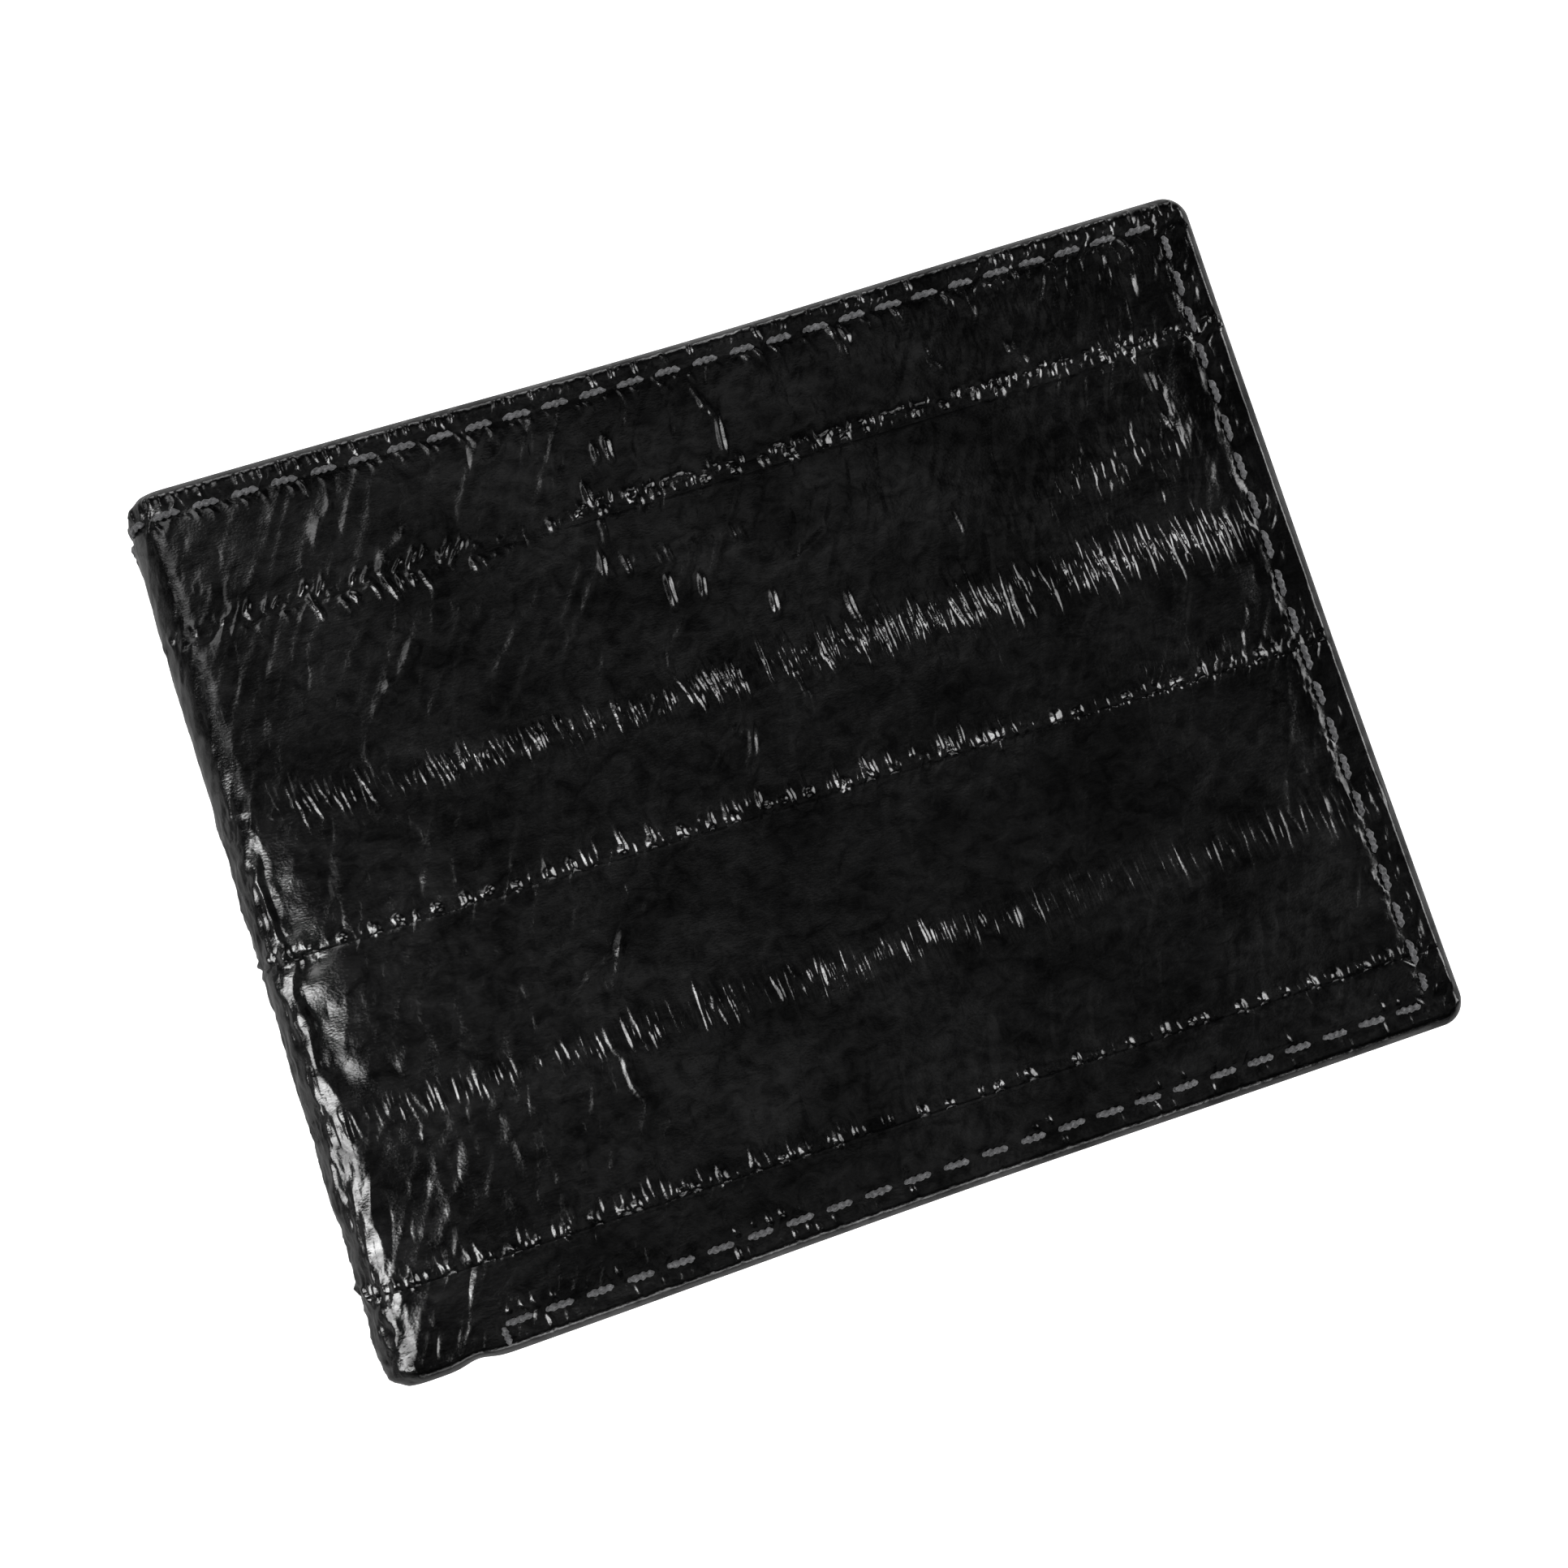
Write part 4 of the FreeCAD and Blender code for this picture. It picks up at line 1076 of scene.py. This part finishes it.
def inner_stitches():
    """Thread along the pocket stack's three sewn sides, stepping down from pocket to pocket."""
    faces = {"front": (CARD_1, CARD_2, CARD_3), "back": (CARD_1, CARD_2, (0, ID_HIGH[2]))}
    for side in HALVES:
        def surface(u, y, side=side):
            level = np.full(np.shape(u), PANEL_DEPTHS[1])
            for slot, (_, inner) in zip(SLOT_TOPS, faces[side]):
                level = np.where(y < slot, inner, level)
            return level - inner_groove(u, y)

        steps = [LOW_ROW_Y] + SLOT_TOPS[::-1] + [PANEL_TOP - 1.0]
        lines = [((FOLD_ROW_X + 0.8, LOW_ROW_Y), (INNER_ROW_X - 0.8, LOW_ROW_Y))]
        for low, high in zip(steps[:-1], steps[1:]):
            lines.append(((INNER_ROW_X, low + 0.7), (INNER_ROW_X, high - 0.5)))
            if high <= SLOT_TOPS[0]:
                lines.append(((FOLD_ROW_X, low + 0.7), (FOLD_ROW_X, high - 0.5)))
        obj = stitches(f"{side}_pocket_stitching", side, lines, surface, INNER_THREAD_R, -0.14)
        dress(obj, "thread", f"{side}_inner_stitching")
        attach(obj, BODY[side])


skin_strips()
perimeter_stitches()
backing()
inner_panels()
card_pockets()
window_pocket()
inner_stitches()

# ---------------------------------------------------------------- floor, light and camera


FLOOR_HALF = 3.0


def floor():
    """A white floor at the height of the skin's lowest ridges. It is dimmer to the leather, which
    mirrors it, than to the camera."""
    grid = np.linspace(-FLOOR_HALF, FLOOR_HALF, 25)
    x, y = np.meshgrid(grid, grid, indexing="ij")
    vertices = np.stack([x, y, np.full(x.shape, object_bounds()[0][2])], -1).reshape(-1, 3)
    index = np.arange(grid.size**2).reshape(grid.size, grid.size)
    faces = np.stack([index[:-1, :-1], index[1:, :-1], index[1:, 1:], index[:-1, 1:]], -1)
    n = Nodes(bpy.data.materials.new("pale_floor"))
    point = n.add("ShaderNodeNewGeometry")
    reach = n.add("ShaderNodeVectorMath", "LENGTH", _0=(point, "Position"))
    seen = n.add("ShaderNodeLightPath")
    glow = n.add("ShaderNodeMath", "MULTIPLY", _0=n.ramp((reach, "Value"), 0.2, 0.8, 0.78, 1.0),
                 _1=n.ramp((seen, "Is Camera Ray"), 0.0, 1.0, 0.08, 1.0))
    paint = n.shaded((0.92, 0.92, 0.92), n.ramp((seen, "Is Camera Ray"), 0.0, 1.0, 0.4, 1.0))
    n.set(n.shader, Base_Color=paint, Roughness=0.9, Specular_IOR_Level=0.1,
          Emission_Color=(1, 1, 1, 1), Emission_Strength=(glow, "Value"))
    obj = link("floor", vertices, faces.reshape(-1, 4).tolist(), vertices, n.owner)
    obj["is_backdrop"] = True


# name, azimuth and elevation in degrees, distance and shift along Y in m, size in m, power in W
LIGHTS = (
    ("left_softbox", 180, 44, 0.8, -0.12, (0.30, 0.48), 4.4),
    ("right_softbox", 0, 28, 0.8, 0.02, (0.5, 0.46), 4.4),
    ("corner_softbox", 138, 46, 0.8, 0.02, (0.34, 0.34), 0.7),
    ("near_softbox", 270, 16, 1.0, 0, (0.7, 0.25), 1.5),
    ("far_softbox", 90, 16, 1.0, 0, (0.7, 0.25), 1.5),
)


def area_light(name, azimuth, elevation, distance, sideways, size, power):
    """A rectangular light that faces back along its own direction."""
    data = bpy.data.lights.new(name, "AREA")
    data.shape = "RECTANGLE"
    data.size, data.size_y = size
    data.energy = power
    obj = bpy.data.objects.new(name, data)
    a, e = math.radians(azimuth), math.radians(elevation)
    direction = Vector((math.cos(a) * math.cos(e), math.sin(a) * math.cos(e), math.sin(e)))
    obj.location = direction * distance + Vector((0, sideways, 0))
    obj.rotation_mode = "QUATERNION"
    obj.rotation_quaternion = direction.to_track_quat("Z", "Y")
    bpy.context.scene.collection.objects.link(obj)


def room():
    """What the leather mirrors: a dim uneven ceiling, dark walls and a pale horizon. The camera
    itself sees plain white."""
    world = bpy.data.worlds.new("studio")
    bpy.context.scene.world = world
    n = Nodes(world, "Background")
    direction = n.add("ShaderNodeTexCoord")
    parts = n.add("ShaderNodeSeparateXYZ", Vector=(direction, "Generated"))
    patches = n.add("ShaderNodeTexNoise", Vector=(direction, "Generated"), Scale=5.0, Detail=2.0)
    ceiling = n.add("ShaderNodeMath", "MULTIPLY", _0=n.ramp((parts, "Z"), 0.70, 0.90, 0.1, 1.0),
                    _1=n.ramp((patches, "Fac"), 0.4, 0.62, 0.0, 0.22))
    horizon = n.ramp((parts, "Z"), 0.1, 0.4, 0.22, 0.0)
    mirrored = n.add("ShaderNodeMath", "ADD", _0=(ceiling, "Value"), _1=horizon)
    paths = n.add("ShaderNodeLightPath")
    strength = n.add("ShaderNodeMath", "MAXIMUM", _0=(mirrored, "Value"), _1=(paths, "Is Camera Ray"))
    n.set(n.shader, Color=(1, 1, 1, 1), Strength=(strength, "Value"))


def studio():
    """The room, the lights, and plain colour handling."""
    room()
    for light in LIGHTS:
        area_light(*light)
    bpy.context.scene.view_settings.view_transform = "Standard"
    bpy.context.scene.view_settings.look = "None"


# The camera's place from the centre of the front cover's face, mm, and two of its axes.
CAMERA_OFFSET = (-15.9, -9.9, 147.8)
CAMERA_RIGHT = (0.9482, -0.3100, 0.0695)
CAMERA_BACK = (-0.0917, -0.0575, 0.9941)


def camera():
    """Looks down from above, 5 degrees off upright, with the spine leaning to the left."""
    data = bpy.data.cameras.new("camera")
    data.lens = 35
    data.sensor_width = 36
    data.clip_start, data.clip_end = 0.01, 20
    obj = bpy.data.objects.new("camera", data)
    face_centre = Vector(((LEFT + RIGHT) / 2, (TOP + BOTTOM) / 2, THICK)) * MM
    offset = Vector(CAMERA_OFFSET) * MM
    right = Vector(CAMERA_RIGHT).normalized()
    back = Vector(CAMERA_BACK).normalized()
    up = back.cross(right).normalized()
    right = up.cross(back)
    obj.matrix_world = Matrix.Translation(face_centre + offset) @ Matrix(
        (right, up, back)).transposed().to_4x4()
    bpy.context.scene.collection.objects.link(obj)
    bpy.context.scene.camera = obj


floor()
studio()
camera()
